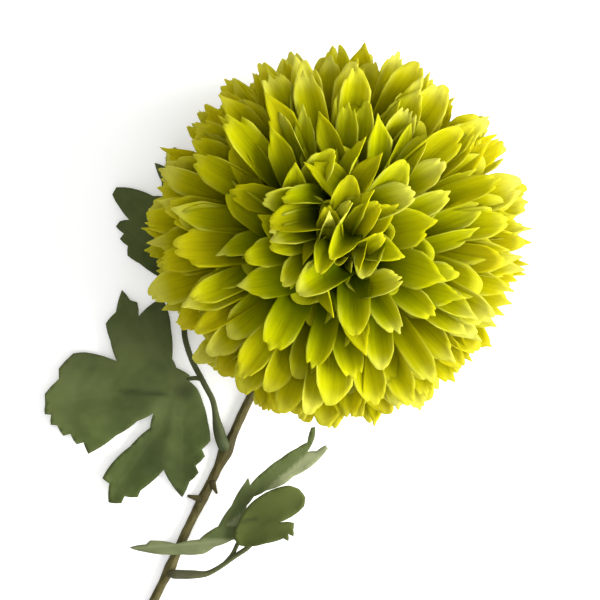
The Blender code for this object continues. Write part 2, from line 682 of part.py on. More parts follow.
def build_bloom():
    """The bloom: every petal fused to the core in one body."""
    finish = material("petal_yellow_green", (0.52, 0.55, 0.03), 0.75)
    core = add_object("bloom", core_body(), finish)
    rules = [*placed_petals(), *spiral_petals()]
    petals = [add_object("petal", petal_body(petal), finish) for petal in rules]
    return fuse(core, petals, finish)


def build_calyx():
    """Green cup with pointed bracts, seated under the core."""
    sides = CALYX_TEETH * 2
    vertices = []
    faces = []
    for turn in range(sides):
        angle = math.tau * turn / sides
        rim = CALYX_RIM_POLAR - (CALYX_TOOTH if turn % 2 else 0.0)
        inner = []
        outer = []
        for row in range(CALYX_ROWS):
            share = row / (CALYX_ROWS - 1)
            polar = math.radians(mix(rim, CALYX_POLAR_END, share))
            inner.append(((CORE_RADIUS + GAP) * math.sin(polar),
                          CORE_Z + (CORE_HALF_HEIGHT + GAP) * math.cos(polar)))
            thick = CALYX_THICK * mix(CALYX_LIP_SHARE, CALYX_FOOT_SHARE, share)
            outer.append(((CORE_RADIUS + GAP + thick) * math.sin(polar),
                          CORE_Z + (CORE_HALF_HEIGHT + GAP + thick) * math.cos(polar)))
        outer.append((CALYX_NECK_RADIUS, CALYX_NECK_Z))
        profile = list(reversed(inner)) + outer
        for radius, height in profile:
            vertices.append((radius * math.cos(angle), radius * math.sin(angle), height))
    ring = len(profile)
    for turn in range(sides):
        for row in range(ring - 1):
            a = turn * ring + row
            b = ((turn + 1) % sides) * ring + row
            faces.append((a, b, b + 1))
            faces.append((a, b + 1, a + 1))
    top = len(vertices)
    vertices.append((0, 0, CORE_Z - CORE_HALF_HEIGHT - GAP))
    vertices.append((0, 0, CALYX_NECK_Z))
    for turn in range(sides):
        a = turn * ring
        b = ((turn + 1) % sides) * ring
        faces.append((top, b, a))
        faces.append((top + 1, a + ring - 1, b + ring - 1))
    finish = material("calyx_green", (0.16, 0.2, 0.05), 0.8)
    return add_object("calyx", triangle_body(vertices, faces), finish)


def build_stem():
    """The stem with its bent neck, swollen joints, two dry stubs and a plain cut end."""
    finish = material("stem_brown", (0.1, 0.085, 0.03), 0.7)
    path = smooth_path(STEM_PATH, STEM_STEP)
    shares, length = path_shares(path)
    radii = []
    for share in shares:
        radius = mix(STEM_TOP_RADIUS, STEM_RADIUS, min(1.0, share / STEM_TAPER_SHARE))
        for place, half, extra in STEM_JOINTS:
            radius += extra * math.exp(-(((share - place) * length / half) ** 2))
        radii.append(radius)
    for point, radius in zip(path, radii):
        point.z = max(point.z, radius + 0.1)
    stem = add_object("stem", tube_body(path, radii, STEM_SIDES), finish)
    stubs = []
    for foot, tip, radius in STEM_STUBS:
        ends = [Vector(foot), (Vector(foot) + Vector(tip)) / 2, Vector(tip)]
        radii = [radius * part for part in STUB_TAPER]
        stubs.append(add_object("stub", tube_body(ends, radii, STUB_SIDES), finish))
    return fuse(stem, stubs, finish)


def build_stalk(name, route, fork, ends, finish):
    """A leaf stalk: a thicker sheath at its foot, then a thin stalk with one fork."""
    path = smooth_path(route, STALK_STEP)
    shares, length = path_shares(path)
    radii = []
    for share in shares:
        sheath = 1 / (1 + math.exp((share * length - SHEATH_LENGTH) / SHEATH_FADE))
        radii.append(mix(ends[1], ends[0], sheath))
    stalk = add_object(name, tube_body(path, radii, STALK_SIDES), finish)
    branch = smooth_path(fork, STALK_STEP)
    twig = add_object("fork", tube_body(branch, [FORK_RADIUS] * len(branch), STALK_SIDES), finish)
    return fuse(stalk, [twig], finish)


def outline_points(outline):
    """Points of a leaf's edge, with the saw teeth that each stretch has."""
    points = []
    afters = outline[1:] + outline[:1]
    area = sum(a[0] * b[1] - b[0] * a[1] for a, b in zip(outline, afters))
    for (x, y, teeth), after in zip(outline, afters):
        here = Vector((x, y))
        along = Vector(after[:2]) - here
        out = Vector((along.y, -along.x)).normalized() * math.copysign(1.0, area)
        points.append(here)
        for tooth in range(teeth):
            peak = here + along * (tooth + TOOTH_LEAN) / teeth + out * TOOTH_DEPTH
            points.append(peak)
            if tooth + 1 < teeth:
                points.append(here + along * (tooth + 1) / teeth)
    return points


def rib_distance(point, ribs):
    """Distance in plan from a point to the nearest rib."""
    best = 1000.0
    for rib in ribs:
        for start, end in zip(rib, rib[1:]):
            a = Vector(start)
            along = Vector(end) - a
            share = min(1.0, max(0.0, (point - a).dot(along) / along.length_squared))
            best = min(best, (point - a - along * share).length)
    return best


def leaf_body(outline, ribs, height, puff):
    """Closed thin leaf: its outline in plan, raised between its ribs and bent by a height rule."""
    edge = outline_points(outline)
    points = [Vector(point) for point in edge]
    links = [(index, (index + 1) % len(edge)) for index in range(len(edge))]
    for rib in ribs:
        for start, end in zip(rib, rib[1:]):
            pieces = max(1, round((Vector(end) - Vector(start)).length / LEAF_CELL))
            for step in range(pieces):
                points.append(Vector(start).lerp(Vector(end), step / pieces))
            points.append(Vector(end))
            links += [(len(points) - 2 - step, len(points) - 1 - step) for step in range(pieces)]
    left = min(point.x for point in edge)
    low = min(point.y for point in edge)
    right = max(point.x for point in edge)
    high = max(point.y for point in edge)
    for row in range(int((high - low) / LEAF_CELL) + 1):
        for column in range(int((right - left) / LEAF_CELL) + 1):
            spot = Vector((left + (column + 0.5 * (row % 2)) * LEAF_CELL, low + row * LEAF_CELL * 0.87))
            near_edge = min((spot - other).length for other in points)
            if near_edge > LEAF_CELL * 0.55 and inside(spot, edge):
                points.append(spot)
    plan, _, faces, _, _, _ = delaunay_2d_cdt(points, links, [list(range(len(edge)))], 1, 1e-4)
    count = len(plan)
    vertices = []
    for side in (0.5, -0.5):
        for point in plan:
            rise = puff * (1 - math.exp(-(rib_distance(point, ribs) / RIB_REACH) ** 2))
            vertices.append((point.x, point.y, height(point) + rise + side * LEAF_THICK))
    triangles = [tuple(face) for face in faces]
    used = {pair for face in triangles for pair in zip(face, face[1:] + face[:1])}
    skin = list(triangles)
    skin += [tuple(index + count for index in reversed(face)) for face in triangles]
    for a, b in sorted(used):
        if (b, a) not in used:
            skin.append((b, a, a + count))
            skin.append((b, a + count, b + count))
    return triangle_body(vertices, skin)


def inside(point, edge):
    """Whether a plan point lies inside a closed outline."""
    odd = False
    for a, b in zip(edge, edge[1:] + edge[:1]):
        if (a.y > point.y) != (b.y > point.y):
            if point.x < (b.x - a.x) * (point.y - a.y) / (b.y - a.y) + a.x:
                odd = not odd
    return odd


def side_leaf_height(point):
    """Height of the large side leaf: raised at its stalk, lower at its lobes."""
    reach = (point - Vector(SIDE_FOOT)).length
    wave = SIDE_WAVE * math.sin(point.dot(Vector(SIDE_WAVE_TURN)))
    drop = SIDE_DROP * min(1.0, reach / SIDE_DROP_REACH)
    return SIDE_FOOT_Z - drop + wave * min(1.0, reach / SIDE_WAVE_REACH)


def behind_leaf_height(point):
    """Height of the leaf behind the bloom: flat under the rim, rising outside it."""
    out = max(0.0, math.hypot(point.x, point.y) - BEHIND_FLAT_RADIUS)
    return BEHIND_Z + BEHIND_RISE * out + BEHIND_WAVE * math.sin(point.y * BEHIND_WAVE_TURN)


def front_leaf_height(point):
    """Height of the leaf on top of the lower pair."""
    reach = (point - Vector(FRONT_FOOT)).length
    return FRONT_FOOT_Z + FRONT_RISE * reach + FRONT_WAVE * math.sin(point.x * FRONT_WAVE_TURN)


def folded_leaf_height(point):
    """Height of the folded leaf under it: its long lobe crosses the stem, and the others rise."""
    return FOLDED_Z + FOLDED_RISE * max(0.0, point.y - FOLDED_LINE_Y)


def build_leaves():
    """The four leaves, each one thin closed sheet."""
    finish = material("leaf_green", (0.07, 0.11, 0.035), 0.85)
    side = leaf_body(LEAF_SIDE, LEAF_SIDE_RIBS, side_leaf_height, SIDE_PUFF)
    behind = leaf_body(LEAF_BEHIND, LEAF_BEHIND_RIBS, behind_leaf_height, BEHIND_PUFF)
    front = leaf_body(LEAF_FRONT, LEAF_FRONT_RIBS, front_leaf_height, FRONT_PUFF)
    folded = leaf_body(LEAF_FOLDED, LEAF_FOLDED_RIBS, folded_leaf_height, FOLDED_PUFF)
    add_object("leaf_side", side, finish)
    add_object("leaf_behind", behind, finish)
    add_object("leaf_front", front, finish)
    add_object("leaf_folded", folded, finish)


def main():
    """Model the whole flower."""
    for old in list(bpy.data.objects):
        bpy.data.objects.remove(old)
    build_bloom()
    build_calyx()
    build_stem()
    stalk_green = material("stalk_green", (0.12, 0.15, 0.05), 0.75)
    stalk_brown = material("stalk_brown_green", (0.13, 0.13, 0.06), 0.75)
    build_stalk("leaf_stalk_upper", LEFT_STALK, LEFT_STALK_FORK, LEFT_STALK_RADII, stalk_green)
    build_stalk("leaf_stalk_lower", RIGHT_STALK, RIGHT_STALK_FORK, RIGHT_STALK_RADII, stalk_brown)
    build_leaves()


main()
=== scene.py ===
"""Finished look of the isla chrysanthemum: petals, leaves, stem, light and camera.

Lengths in the classes are millimetres and angles are degrees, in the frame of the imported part, and
meshes are made in metres. Plan points are measured from the middle of the bloom.
"""

import logging
import math
import random
from dataclasses import dataclass, field
from enum import Enum
from typing import Callable, Iterable, Iterator, Sequence

import bmesh
import bpy
import numpy as np
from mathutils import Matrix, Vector
from mathutils.geometry import delaunay_2d_cdt


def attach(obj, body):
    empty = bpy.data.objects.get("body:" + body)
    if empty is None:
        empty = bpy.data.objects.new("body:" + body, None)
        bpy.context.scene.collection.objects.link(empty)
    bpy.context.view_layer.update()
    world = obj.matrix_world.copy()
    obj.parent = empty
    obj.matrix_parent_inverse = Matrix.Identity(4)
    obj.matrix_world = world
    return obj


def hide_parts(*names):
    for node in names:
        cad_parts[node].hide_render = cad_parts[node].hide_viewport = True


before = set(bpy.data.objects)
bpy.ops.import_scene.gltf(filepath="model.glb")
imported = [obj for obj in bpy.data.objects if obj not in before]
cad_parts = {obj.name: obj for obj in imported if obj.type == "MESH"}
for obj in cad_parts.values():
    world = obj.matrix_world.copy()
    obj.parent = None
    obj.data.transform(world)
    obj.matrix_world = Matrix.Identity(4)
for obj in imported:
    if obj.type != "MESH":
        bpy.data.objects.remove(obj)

LOG = logging.getLogger("chrysanthemum")
MM = 0.001
BODY = "root"

Colour = tuple[float, float, float]
Plan = tuple[float, float]
Steps = Sequence[tuple[float, float]]
OutlinePoint = tuple[float, float, int]

BLOOM_MIDDLE = (17.81, 70.6)
TIP_TEETH = 3
NOTCH_WIDTH = 0.1
POINT_WIDTH = 0.16


def mix(low: float, high: float, share: float) -> float:
    """Value part of the way from low to high."""
    return low + (high - low) * share


def read_steps(steps: Steps, at: float) -> float:
    """Smooth value of a list of (place, value) pairs.

    Args:
        steps: The pairs, by rising place.
        at: The place to read.

    Returns:
        The value there.
    """
    if at <= steps[0][0]:
        return steps[0][1]
    for (left, low), (right, high) in zip(steps, steps[1:]):
        if at <= right:
            share = (at - left) / (right - left)
            share = share * share * (3 - 2 * share) * 0.5 + share * 0.5
            return mix(low, high, share)
    return steps[-1][1]


def smooth_path(points: Sequence[Sequence[float]], step: float) -> list[Vector]:
    """Points along a smooth curve through the given points.

    Args:
        points: Points that the curve passes.
        step: Rough distance between the points of the result.

    Returns:
        The points of the curve, ends included.
    """
    knots = [Vector(point) for point in points]
    ends = [knots[0] * 2 - knots[1]] + knots + [knots[-1] * 2 - knots[-2]]
    path = [knots[0]]
    for a, b, c, d in zip(ends, ends[1:], ends[2:], ends[3:]):
        count = max(1, round((c - b).length / step))
        for index in range(1, count + 1):
            t = index / count
            bend = (a * -1 + b * 3 - c * 3 + d) * t * t * t
            sweep = (a * 2 - b * 5 + c * 4 - d) * t * t
            path.append((b * 2 + (c - a) * t + sweep + bend) * 0.5)
    return path


def path_shares(path: Sequence[Vector]) -> tuple[list[float], float]:
    """Share of the length at each point of a path, and the whole length."""
    lengths = [0.0]
    for a, b in zip(path, path[1:]):
        lengths.append(lengths[-1] + (b - a).length)
    return [length / lengths[-1] for length in lengths], lengths[-1]


@dataclass
class Piece:
    """Geometry of one piece, gathered before it becomes an object.

    Attributes:
        name: Name of the object.
        node: CAD node that it stands for.
        slot: Material slot of the record; not used.
        points: Points of each body added so far, in millimetres.
        faces: Faces of each body.
        marks: Values of each mark, body by body.
        count: Number of points so far.
    """

    name: str
    node: str
    slot: str
    points: list[np.ndarray] = field(default_factory=list)
    faces: list[np.ndarray] = field(default_factory=list)
    marks: dict[str, list[np.ndarray]] = field(default_factory=dict)
    count: int = 0

    def add(self, points: np.ndarray, faces: np.ndarray, marks: dict[str, np.ndarray]) -> None:
        """Add one closed body.

        Args:
            points: Its points, one row each, in millimetres.
            faces: Its four-cornered faces, as rows of point numbers.
            marks: Value of each named mark at each point.
        """
        self.points.append(points)
        self.faces.append(faces + self.count)
        for name, values in marks.items():
            self.marks.setdefault(name, []).append(values)
        self.count += len(points)

    def build(self, material: bpy.types.Material) -> bpy.types.Object:
        """Make the object, which rides on the flower's body.

        Args:
            material: Finish of the whole piece.

        Returns:
            The new object.
        """
        points = np.concatenate(self.points)
        points = (points + (*BLOOM_MIDDLE, 0.0)) * MM
        faces = np.concatenate(self.faces)
        rows = [tuple(dict.fromkeys(row)) for row in faces.tolist()]
        mesh = bpy.data.meshes.new(self.name)
        mesh.from_pydata(points.tolist(), [], rows)
        for name, values in self.marks.items():
            mark = mesh.attributes.new(name, "FLOAT", "POINT")
            mark.data.foreach_set("value", np.concatenate(values).astype(np.float32))
        mesh.validate()
        self.face_out(mesh)
        mesh.shade_smooth()
        mesh.materials.append(material)
        made = bpy.data.objects.new(self.name, mesh)
        bpy.context.scene.collection.objects.link(made)
        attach(made, BODY)
        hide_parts(self.node)
        LOG.info("%s: %d faces", self.name, len(rows))
        return made

    @staticmethod
    def face_out(mesh: bpy.types.Mesh) -> None:
        """Turn every face of a mesh outwards."""
        work = bmesh.new()
        work.from_mesh(mesh)
        bmesh.ops.recalc_face_normals(work, faces=work.faces)
        work.to_mesh(mesh)
        work.free()


def sheet_faces(rows: int, columns: int) -> np.ndarray:
    """Faces of a closed thin sheet whose two sides are grids.

    Args:
        rows: Number of points along.
        columns: Number of points across.

    Returns:
        Rows of four point numbers, for the top grid's points followed by the bottom grid's.
    """
    grid = np.arange(rows * columns).reshape(rows, columns)
    a, b, c, d = grid[:-1, :-1], grid[:-1, 1:], grid[1:, 1:], grid[1:, :-1]
    top = np.stack([a, b, c, d], axis=-1).reshape(-1, 4)
    under = top[:, ::-1] + rows * columns
    ring = np.concatenate([grid[0, :-1], grid[:-1, -1], grid[-1, :0:-1], grid[:0:-1, 0]])
    after = np.roll(ring, -1)
    rim = np.stack([after, ring, ring + rows * columns, after + rows * columns], axis=-1)
    return np.concatenate([top, under, rim])


class TipStyle(Enum):
    """Shape of a petal's tip: how fast it rounds, how deep, its teeth and its small point."""

    ROUND = (2.8, 0.12, 0.0, 0.0)
    POINTED = (1.7, 0.15, 0.0, 0.03)
    TOOTHED = (2.6, 0.11, 0.03, 0.0)

    def reach(self, across: np.ndarray, notches: Steps) -> np.ndarray:
        """Share of the petal's length that its edge reaches.

        Args:
            across: Places across the petal, from -1 to 1.
            notches: Place across and depth of each small notch.

        Returns:
            The share at each place.
        """
        power, depth, teeth, point = self.value
        shape = 1 - depth * np.abs(across) ** power
        shape += teeth * (np.cos(math.pi * TIP_TEETH * across) - 1) / 2
        for place, deep in notches:
            shape -= deep * np.exp(-(((across - place) / NOTCH_WIDTH) ** 2))
        return shape + point * (np.exp(-((across / POINT_WIDTH) ** 2)) - 1)


@dataclass
class Petal:
    """One petal: where it stands and how it is shaped.

    Attributes:
        heading: Direction in plan in which it points, in radians.
        polar: Polar angle on the dome, in degrees.
        tip: Distance of its tip along its heading, and height of its tip.
        lean: Angle of its tip from the vertical, in radians.
        twist: Turn about its own length at the tip, in radians.
        width: Full width.
        cup: Rise of its edges against its width.
        sideways: Distance of its tip to the left of the bloom's axis.
        floor: Whether it lies on the surface.
        leaned: Share of the heart's lean that it follows.
        curl: Rise of its tip.
        ruffle: Depth of the waves in its edge.
        phase: Start of those waves.
        tone: Its own shade, from -1 to 1.
        style: Shape of its tip.
        notches: Place across and depth of each small notch in its tip.
        bias: Share by which one edge rises more than the other.
        hook: Distance by which its tip bends sideways.
        paler: How far the colours of its root and middle move toward those of its tip: painted light where it
            is positive and painted shade where it is negative, set by the petal's direction in the bloom.
    """

    heading: float
    polar: float
    tip: tuple[float, float]
    lean: float
    twist: float
    width: float
    cup: float
    sideways: float = 0.0
    floor: bool = False
    leaned: float = 0.0
    curl: float = 0.0
    ruffle: float = 0.0
    phase: float = 0.0
    tone: float = 0.0
    style: TipStyle = TipStyle.ROUND
    notches: Steps = ()
    bias: float = 0.0
    hook: float = 0.0
    paler: float = 0.0


PlacedRow = tuple[float, float, float, float, float, float, float, float, TipStyle]


@dataclass
class PetalRule:
    """How the petals stand on the dome: a spiral round the rim, and petals set one by one above it.

    The rows of heart and ring hold x and y of the tip, heading, width, lean, twist, depth of the tip
    under the dome, cup, and shape of the tip.
    """

    petals: int = 196
    seed: int = 11
    golden_angle: float = 137.508
    even_share: float = 0.5
    halvings: int = 30
    radius: float = 70.0
    waist_z: float = 41.0
    dome: float = 52.5
    skirt_radius: float = 45.0
    skirt_z: float = 0.8
    skirt_inward: float = 1.6
    skirt_drop: float = 0.9
    polar_waist: float = 90.0
    polar_last: float = 130.0
    polar_floor: float = 119.0
    polar_spiral: float = 56.0
    rim_reach: Sequence[float] = (
        1.035, 1.015, 1.005, 1.01, 1.0, 1.005, 1.035, 0.965, 0.96, 1.02, 1.01, 0.985,
    )
    core_z: float = 34.0
    core_radius: float = 24.0
    core_half_height: float = 20.0
    root_sink: float = 0.55
    root_polar_last: float = 114.0
    root_sideways: float = 11.0
    tip_jitter: float = 2.4
    azimuth_jitter: float = 8.0
    lean_jitter: float = 8.0
    twist_jitter: float = 26.0
    heart_lean: float = 8.5
    heart_azimuth: float = -65.0
    stem_azimuth: float = -118.07
    stem_clear: float = 24.0
    stem_clear_fade: float = 8.0
    stem_clear_z: float = 9.5
    handle: float = 0.38
    first_back: float = 38.0
    first_ahead: float = 4.0
    girth_spread: tuple[float, float] = (0.86, 1.12)
    tip_lean: Steps = ((0, 8), (12, 34), (22, 50), (35, 66), (55, 80), (90, 98), (115, 112), (130, 94))
    petal_width: Steps = ((0, 8.5), (10, 11.0), (25, 13.5), (60, 12.5), (90, 11.5), (130, 12.0))
    petal_cup: Steps = ((0, 0.36), (20, 0.28), (45, 0.18), (90, 0.14), (118, 0.12), (130, 0.05))
    heart: Sequence[PlacedRow] = (
        (-1.0, 7.5, 69, 8, 45, 62, 0, 0.20, TipStyle.POINTED),
        (12.0, 16.0, 60, 9, 58, -62, 1, 0.20, TipStyle.POINTED),
        (5.5, 10.5, 58, 8, 52, -58, 2, 0.20, TipStyle.ROUND),
        (-3.5, 8.5, 94, 9, 45, 10, 4, 0.25, TipStyle.ROUND),
        (-1.0, -10.0, -121, 9.5, 52, 0, 1, 0.50, TipStyle.ROUND),
        (-7.0, -14.0, -112, 9, 60, 5, 3, 0.40, TipStyle.ROUND),
        (-12.5, -10.0, -128, 7, 60, 55, 5, 0.20, TipStyle.POINTED),
        (17.0, 1.0, 33, 9, 64, 38, 3, 0.20, TipStyle.TOOTHED),
        (14.5, 11.0, 52, 10, 60, -20, 3, 0.30, TipStyle.ROUND),
        (23.0, 8.5, 23, 11, 74, 22, 5, 0.22, TipStyle.POINTED),
        (3.5, 20.0, 82, 10.5, 62, 0, 3, 0.25, TipStyle.ROUND),
        (-23.0, 3.0, -170, 12.5, 64, 10, 1, 0.36, TipStyle.ROUND),
        (-23.5, -1.5, -164, 12, 70, 18, 3.5, 0.30, TipStyle.ROUND),
        (-23.5, -6.0, -160, 11, 76, 10, 6, 0.24, TipStyle.ROUND),
        (-27.5, 7.5, 149, 12, 80, -5, 8, 0.20, TipStyle.POINTED),
        (-26.0, 12.5, 174, 11, 68, 0, 4, 0.30, TipStyle.ROUND),
        (-19.0, 13.0, -178, 9, 62, 35, 2, 0.30, TipStyle.ROUND),
        (-15.5, 26.0, 90, 9, 60, 0, 5, 0.25, TipStyle.POINTED),
        (-11.5, 24.5, 144, 10, 66, 38, 4, 0.25, TipStyle.POINTED),
        (0.0, 29.5, 51, 9, 70, -20, 6, 0.25, TipStyle.ROUND),
        (10.5, 34.5, 62, 8, 66, -50, 4, 0.20, TipStyle.POINTED),
        (-13.5, -21.5, -147, 12, 74, 15, 3, 0.36, TipStyle.ROUND),
        (-18.0, -19.5, -130, 9, 77, 20, 5.5, 0.26, TipStyle.ROUND),
        (8.0, -13.5, -99, 7, 60, 48, 3, 0.20, TipStyle.POINTED),
        (10.0, -16.0, -106, 10, 64, 8, 4.5, 0.30, TipStyle.ROUND),
        (25.0, -8.0, -10, 11, 76, -30, 4, 0.28, TipStyle.POINTED),
        (24.0, -16.5, 16, 10, 78, -24, 5, 0.26, TipStyle.ROUND),
        (6.5, -36.0, -89, 12, 78, 0, 5, 0.25, TipStyle.ROUND),
        (-2.0, -30.0, -77, 8, 76, 55, 6, 0.20, TipStyle.POINTED),
        (16.0, 28.5, 55, 9.5, 70, -20, 4, 0.22, TipStyle.POINTED),
        (23.5, 26.5, 56, 11, 72, 18, 4, 0.22, TipStyle.ROUND),
        (27.5, 15.0, 19, 12.5, 76, -10, 5, 0.20, TipStyle.ROUND),
    )
    ring: Sequence[PlacedRow] = (
        (36.0, 4.5, 11, 15, 80, 5, 4, 0.13, TipStyle.POINTED),
        (39.5, -15.0, -15, 14, 82, 0, 6, 0.14, TipStyle.POINTED),
        (35.0, -30.5, -41, 9.5, 82, 14, 7, 0.20, TipStyle.TOOTHED),
        (24.0, -35.0, -55, 9.5, 82, 8, 7, 0.30, TipStyle.TOOTHED),
        (16.0, -48.5, -86, 10.5, 84, 0, 8, 0.20, TipStyle.ROUND),
        (-6.5, -48.5, -101, 9.5, 84, -10, 8, 0.22, TipStyle.TOOTHED),
        (-25.0, -41.0, -121, 13, 86, 0, 7, 0.14, TipStyle.TOOTHED),
        (-39.5, -35.5, -140, 12, 86, 8, 10, 0.14, TipStyle.ROUND),
        (-35.5, -19.0, -172, 12, 90, 0, 8, 0.20, TipStyle.POINTED),
        (-32.5, -8.0, -168, 11, 80, 5, 7, 0.22, TipStyle.ROUND),
        (-43.5, -5.5, -168, 9, 86, 32, 9, 0.18, TipStyle.POINTED),
        (-47.5, -19.5, -150, 10.5, 88, 10, 11, 0.16, TipStyle.POINTED),
        (-49.5, -33.0, -139, 12, 90, 0, 13, 0.14, TipStyle.ROUND),
        (-38.0, 15.5, 167, 10, 78, -10, 6, 0.18, TipStyle.TOOTHED),
        (-39.5, 13.5, 147, 11, 82, -8, 8, 0.18, TipStyle.ROUND),
        (-24.5, 38.5, 113, 9, 78, 0, 6, 0.22, TipStyle.POINTED),
        (-34.5, 33.0, 101, 8.5, 82, 0, 9, 0.20, TipStyle.ROUND),
        (-34.0, 38.5, 118, 9, 82, -45, 8, 0.18, TipStyle.POINTED),
        (-13.5, 46.5, 99, 8, 76, -10, 6, 0.22, TipStyle.POINTED),
        (-8.0, 43.0, 119, 8.5, 76, -20, 5, 0.22, TipStyle.POINTED),
        (-20.5, 44.5, 112, 10, 78, -42, 7, 0.18, TipStyle.POINTED),
        (6.0, 47.5, 84, 9, 78, -10, 7, 0.20, TipStyle.TOOTHED),
        (12.0, 47.5, 81, 8, 80, -28, 7, 0.20, TipStyle.ROUND),
        (14.0, 43.0, 91, 8, 74, 38, 5, 0.20, TipStyle.POINTED),
        (24.0, 48.0, 58, 8, 84, -38, 9, 0.16, TipStyle.POINTED),
        (27.5, 45.5, 48, 9, 84, 0, 10, 0.16, TipStyle.POINTED),
        (27.5, 40.5, 65, 8, 78, 46, 6, 0.18, TipStyle.POINTED),
        (30.5, 36.5, 62, 8, 80, -18, 8, 0.18, TipStyle.ROUND),
        (40.0, 24.5, 29, 10, 82, 0, 8, 0.16, TipStyle.ROUND),
        (40.0, 17.0, 30, 9.5, 80, 32, 6, 0.18, TipStyle.TOOTHED),
        (49.5, 35.0, 25, 10, 88, -10, 12, 0.14, TipStyle.POINTED),
        (50.0, 25.0, 30, 8, 86, 42, 10, 0.16, TipStyle.POINTED),
        (52.5, 10.0, 22, 9.5, 86, 0, 9, 0.16, TipStyle.ROUND),
        (51.5, 3.0, 20, 8, 86, 42, 10, 0.16, TipStyle.POINTED),
        (47.0, -22.0, -10, 9, 86, 18, 10, 0.18, TipStyle.POINTED),
        (44.0, -15.0, -7, 8, 86, 0, 9, 0.18, TipStyle.ROUND),
        (11.0, -43.5, -68, 10, 86, -18, 9, 0.18, TipStyle.POINTED),
        (5.5, -52.5, -78, 11, 86, -14, 10, 0.20, TipStyle.TOOTHED),
        (-11.5, -59.5, -99, 11, 90, -10, 14, 0.16, TipStyle.ROUND),
        (-17.5, -58.5, -109, 9, 90, 10, 15, 0.16, TipStyle.ROUND),
        (-27.0, -63.5, -117, 10, 92, 0, 18, 0.16, TipStyle.ROUND),
        (-27.5, -52.5, -126, 8, 88, -55, 12, 0.16, TipStyle.POINTED),
        (-39.5, -50.5, -129, 9.5, 92, 0, 16, 0.16, TipStyle.ROUND),
        (-33.5, -55.0, -120, 9, 92, 8, 17, 0.16, TipStyle.POINTED),
        (-46.5, -47.5, -137, 9, 92, 0, 18, 0.14, TipStyle.ROUND),
        (-3.5, -70.5, -100, 10, 94, 0, 2, 0.14, TipStyle.POINTED),
        (4.5, -66.0, -95, 10, 92, 8, 1, 0.16, TipStyle.ROUND),
        (14.0, -70.0, -94, 9.5, 94, 0, 2, 0.14, TipStyle.POINTED),
        (23.0, -63.5, -81, 10, 92, -8, 2, 0.16, TipStyle.TOOTHED),
        (35.0, -58.5, -67, 10, 92, 0, 2, 0.14, TipStyle.TOOTHED),
        (44.0, -53.5, -52, 10, 92, 0, 2, 0.14, TipStyle.TOOTHED),
        (50.5, -46.0, -44, 9.5, 92, 8, 2, 0.14, TipStyle.POINTED),
    )

    def dome_point(self, polar: float, azimuth: float) -> tuple[float, float]:
        """Radius and height of the tips' envelope at a polar angle and azimuth in degrees."""
        count = len(self.rim_reach)
        sector = (azimuth % 360.0) / (360.0 / count)
        low = int(sector) % count
        reach = mix(self.rim_reach[low], self.rim_reach[(low + 1) % count], sector - int(sector))
        if polar <= self.polar_waist:
            angle = math.radians(polar)
            radius = self.radius * math.sin(angle)
            height = self.waist_z + self.dome * math.cos(angle)
            reach = mix(1.0, reach, math.sin(angle))
        else:
            down = (polar - self.polar_waist) / (self.polar_last - self.polar_waist)
            radius = mix(self.radius, self.skirt_radius, down ** self.skirt_inward)
            height = mix(self.waist_z, self.skirt_z, down ** self.skirt_drop)
            reach = mix(reach, 1.0, down)
        return radius * reach, height

    def polar_of(self, share: float) -> float:
        """Polar angle under which the given share of the petals stands."""
        low = 0.0
        high = self.polar_last
        whole = 1 - math.cos(math.radians(self.polar_last))
        for _ in range(self.halvings):
            polar = (low + high) / 2
            even = (1 - math.cos(math.radians(polar))) / whole
            if self.even_share * even + (1 - self.even_share) * polar / self.polar_last < share:
                low = polar
            else:
                high = polar
        return low

    def spiral_petal(self, index: float, draw: random.Random, shorter: float = 0.0) -> Petal:
        """One petal of the spiral.

        Args:
            index: Its number in the spiral, from the heart out.
            draw: Source of its small irregularities.
            shorter: How far its tip stays inside the dome.

        Returns:
            The petal.
        """
        polar = self.polar_of((index + 0.5) / self.petals)
        azimuth = index * self.golden_angle + draw.uniform(-self.azimuth_jitter, self.azimuth_jitter)
        reach = draw.uniform(-self.tip_jitter, self.tip_jitter) - shorter
        lean = draw.uniform(-self.lean_jitter, self.lean_jitter)
        twist = draw.uniform(-1.0, 1.0)
        girth = draw.uniform(*self.girth_spread)
        radius, height = self.dome_point(polar, azimuth)
        angle = math.radians(polar)
        radius += reach * math.sin(angle)
        height += reach * math.cos(angle)
        floor = polar > self.polar_floor
        if floor:
            height = self.skirt_z
            lean = 0.0
            twist = 0.0
        off_stem = abs((azimuth - self.stem_azimuth + 180.0) % 360.0 - 180.0)
        lift = min(1.0, max(0.0, (self.stem_clear - off_stem) / self.stem_clear_fade))
        height = max(height, self.stem_clear_z * lift)
        return Petal(
            heading=math.radians(azimuth),
            polar=polar,
            tip=(radius, height),
            lean=math.radians(read_steps(self.tip_lean, polar) + lean),
            twist=math.radians(twist * self.twist_jitter),
            width=read_steps(self.petal_width, polar) * girth,
            cup=read_steps(self.petal_cup, polar),
            floor=floor and lift == 0.0,
            leaned=max(0.0, math.cos(angle)),
        )

    def placed_petal(self, row: PlacedRow) -> Petal:
        """The petal of one row of heart or ring."""
        x, y, heading, width, lean, twist, depth, cup, style = row
        turn = math.radians(heading)
        share = min(1.0, math.hypot(x, y) / self.radius)
        height = self.waist_z + self.dome * math.sqrt(1 - share * share) - depth
        return Petal(
            heading=turn,
            polar=math.degrees(math.asin(share)),
            tip=(x * math.cos(turn) + y * math.sin(turn), height),
            lean=math.radians(lean),
            twist=math.radians(twist),
            width=width,
            cup=cup,
            sideways=y * math.cos(turn) - x * math.sin(turn),
            style=style,
        )

    def spiral(self) -> Iterator[Petal]:
        """The spiral's petals, from below the ring to the surface."""
        draw = random.Random(self.seed)
        for index in range(self.petals):
            petal = self.spiral_petal(index, draw)
            if petal.polar > self.polar_spiral:
                yield petal

    def placed(self) -> Iterator[Petal]:
        """The petals of the heart and the ring."""
        for row in (*self.heart, *self.ring):
            yield self.placed_petal(row)

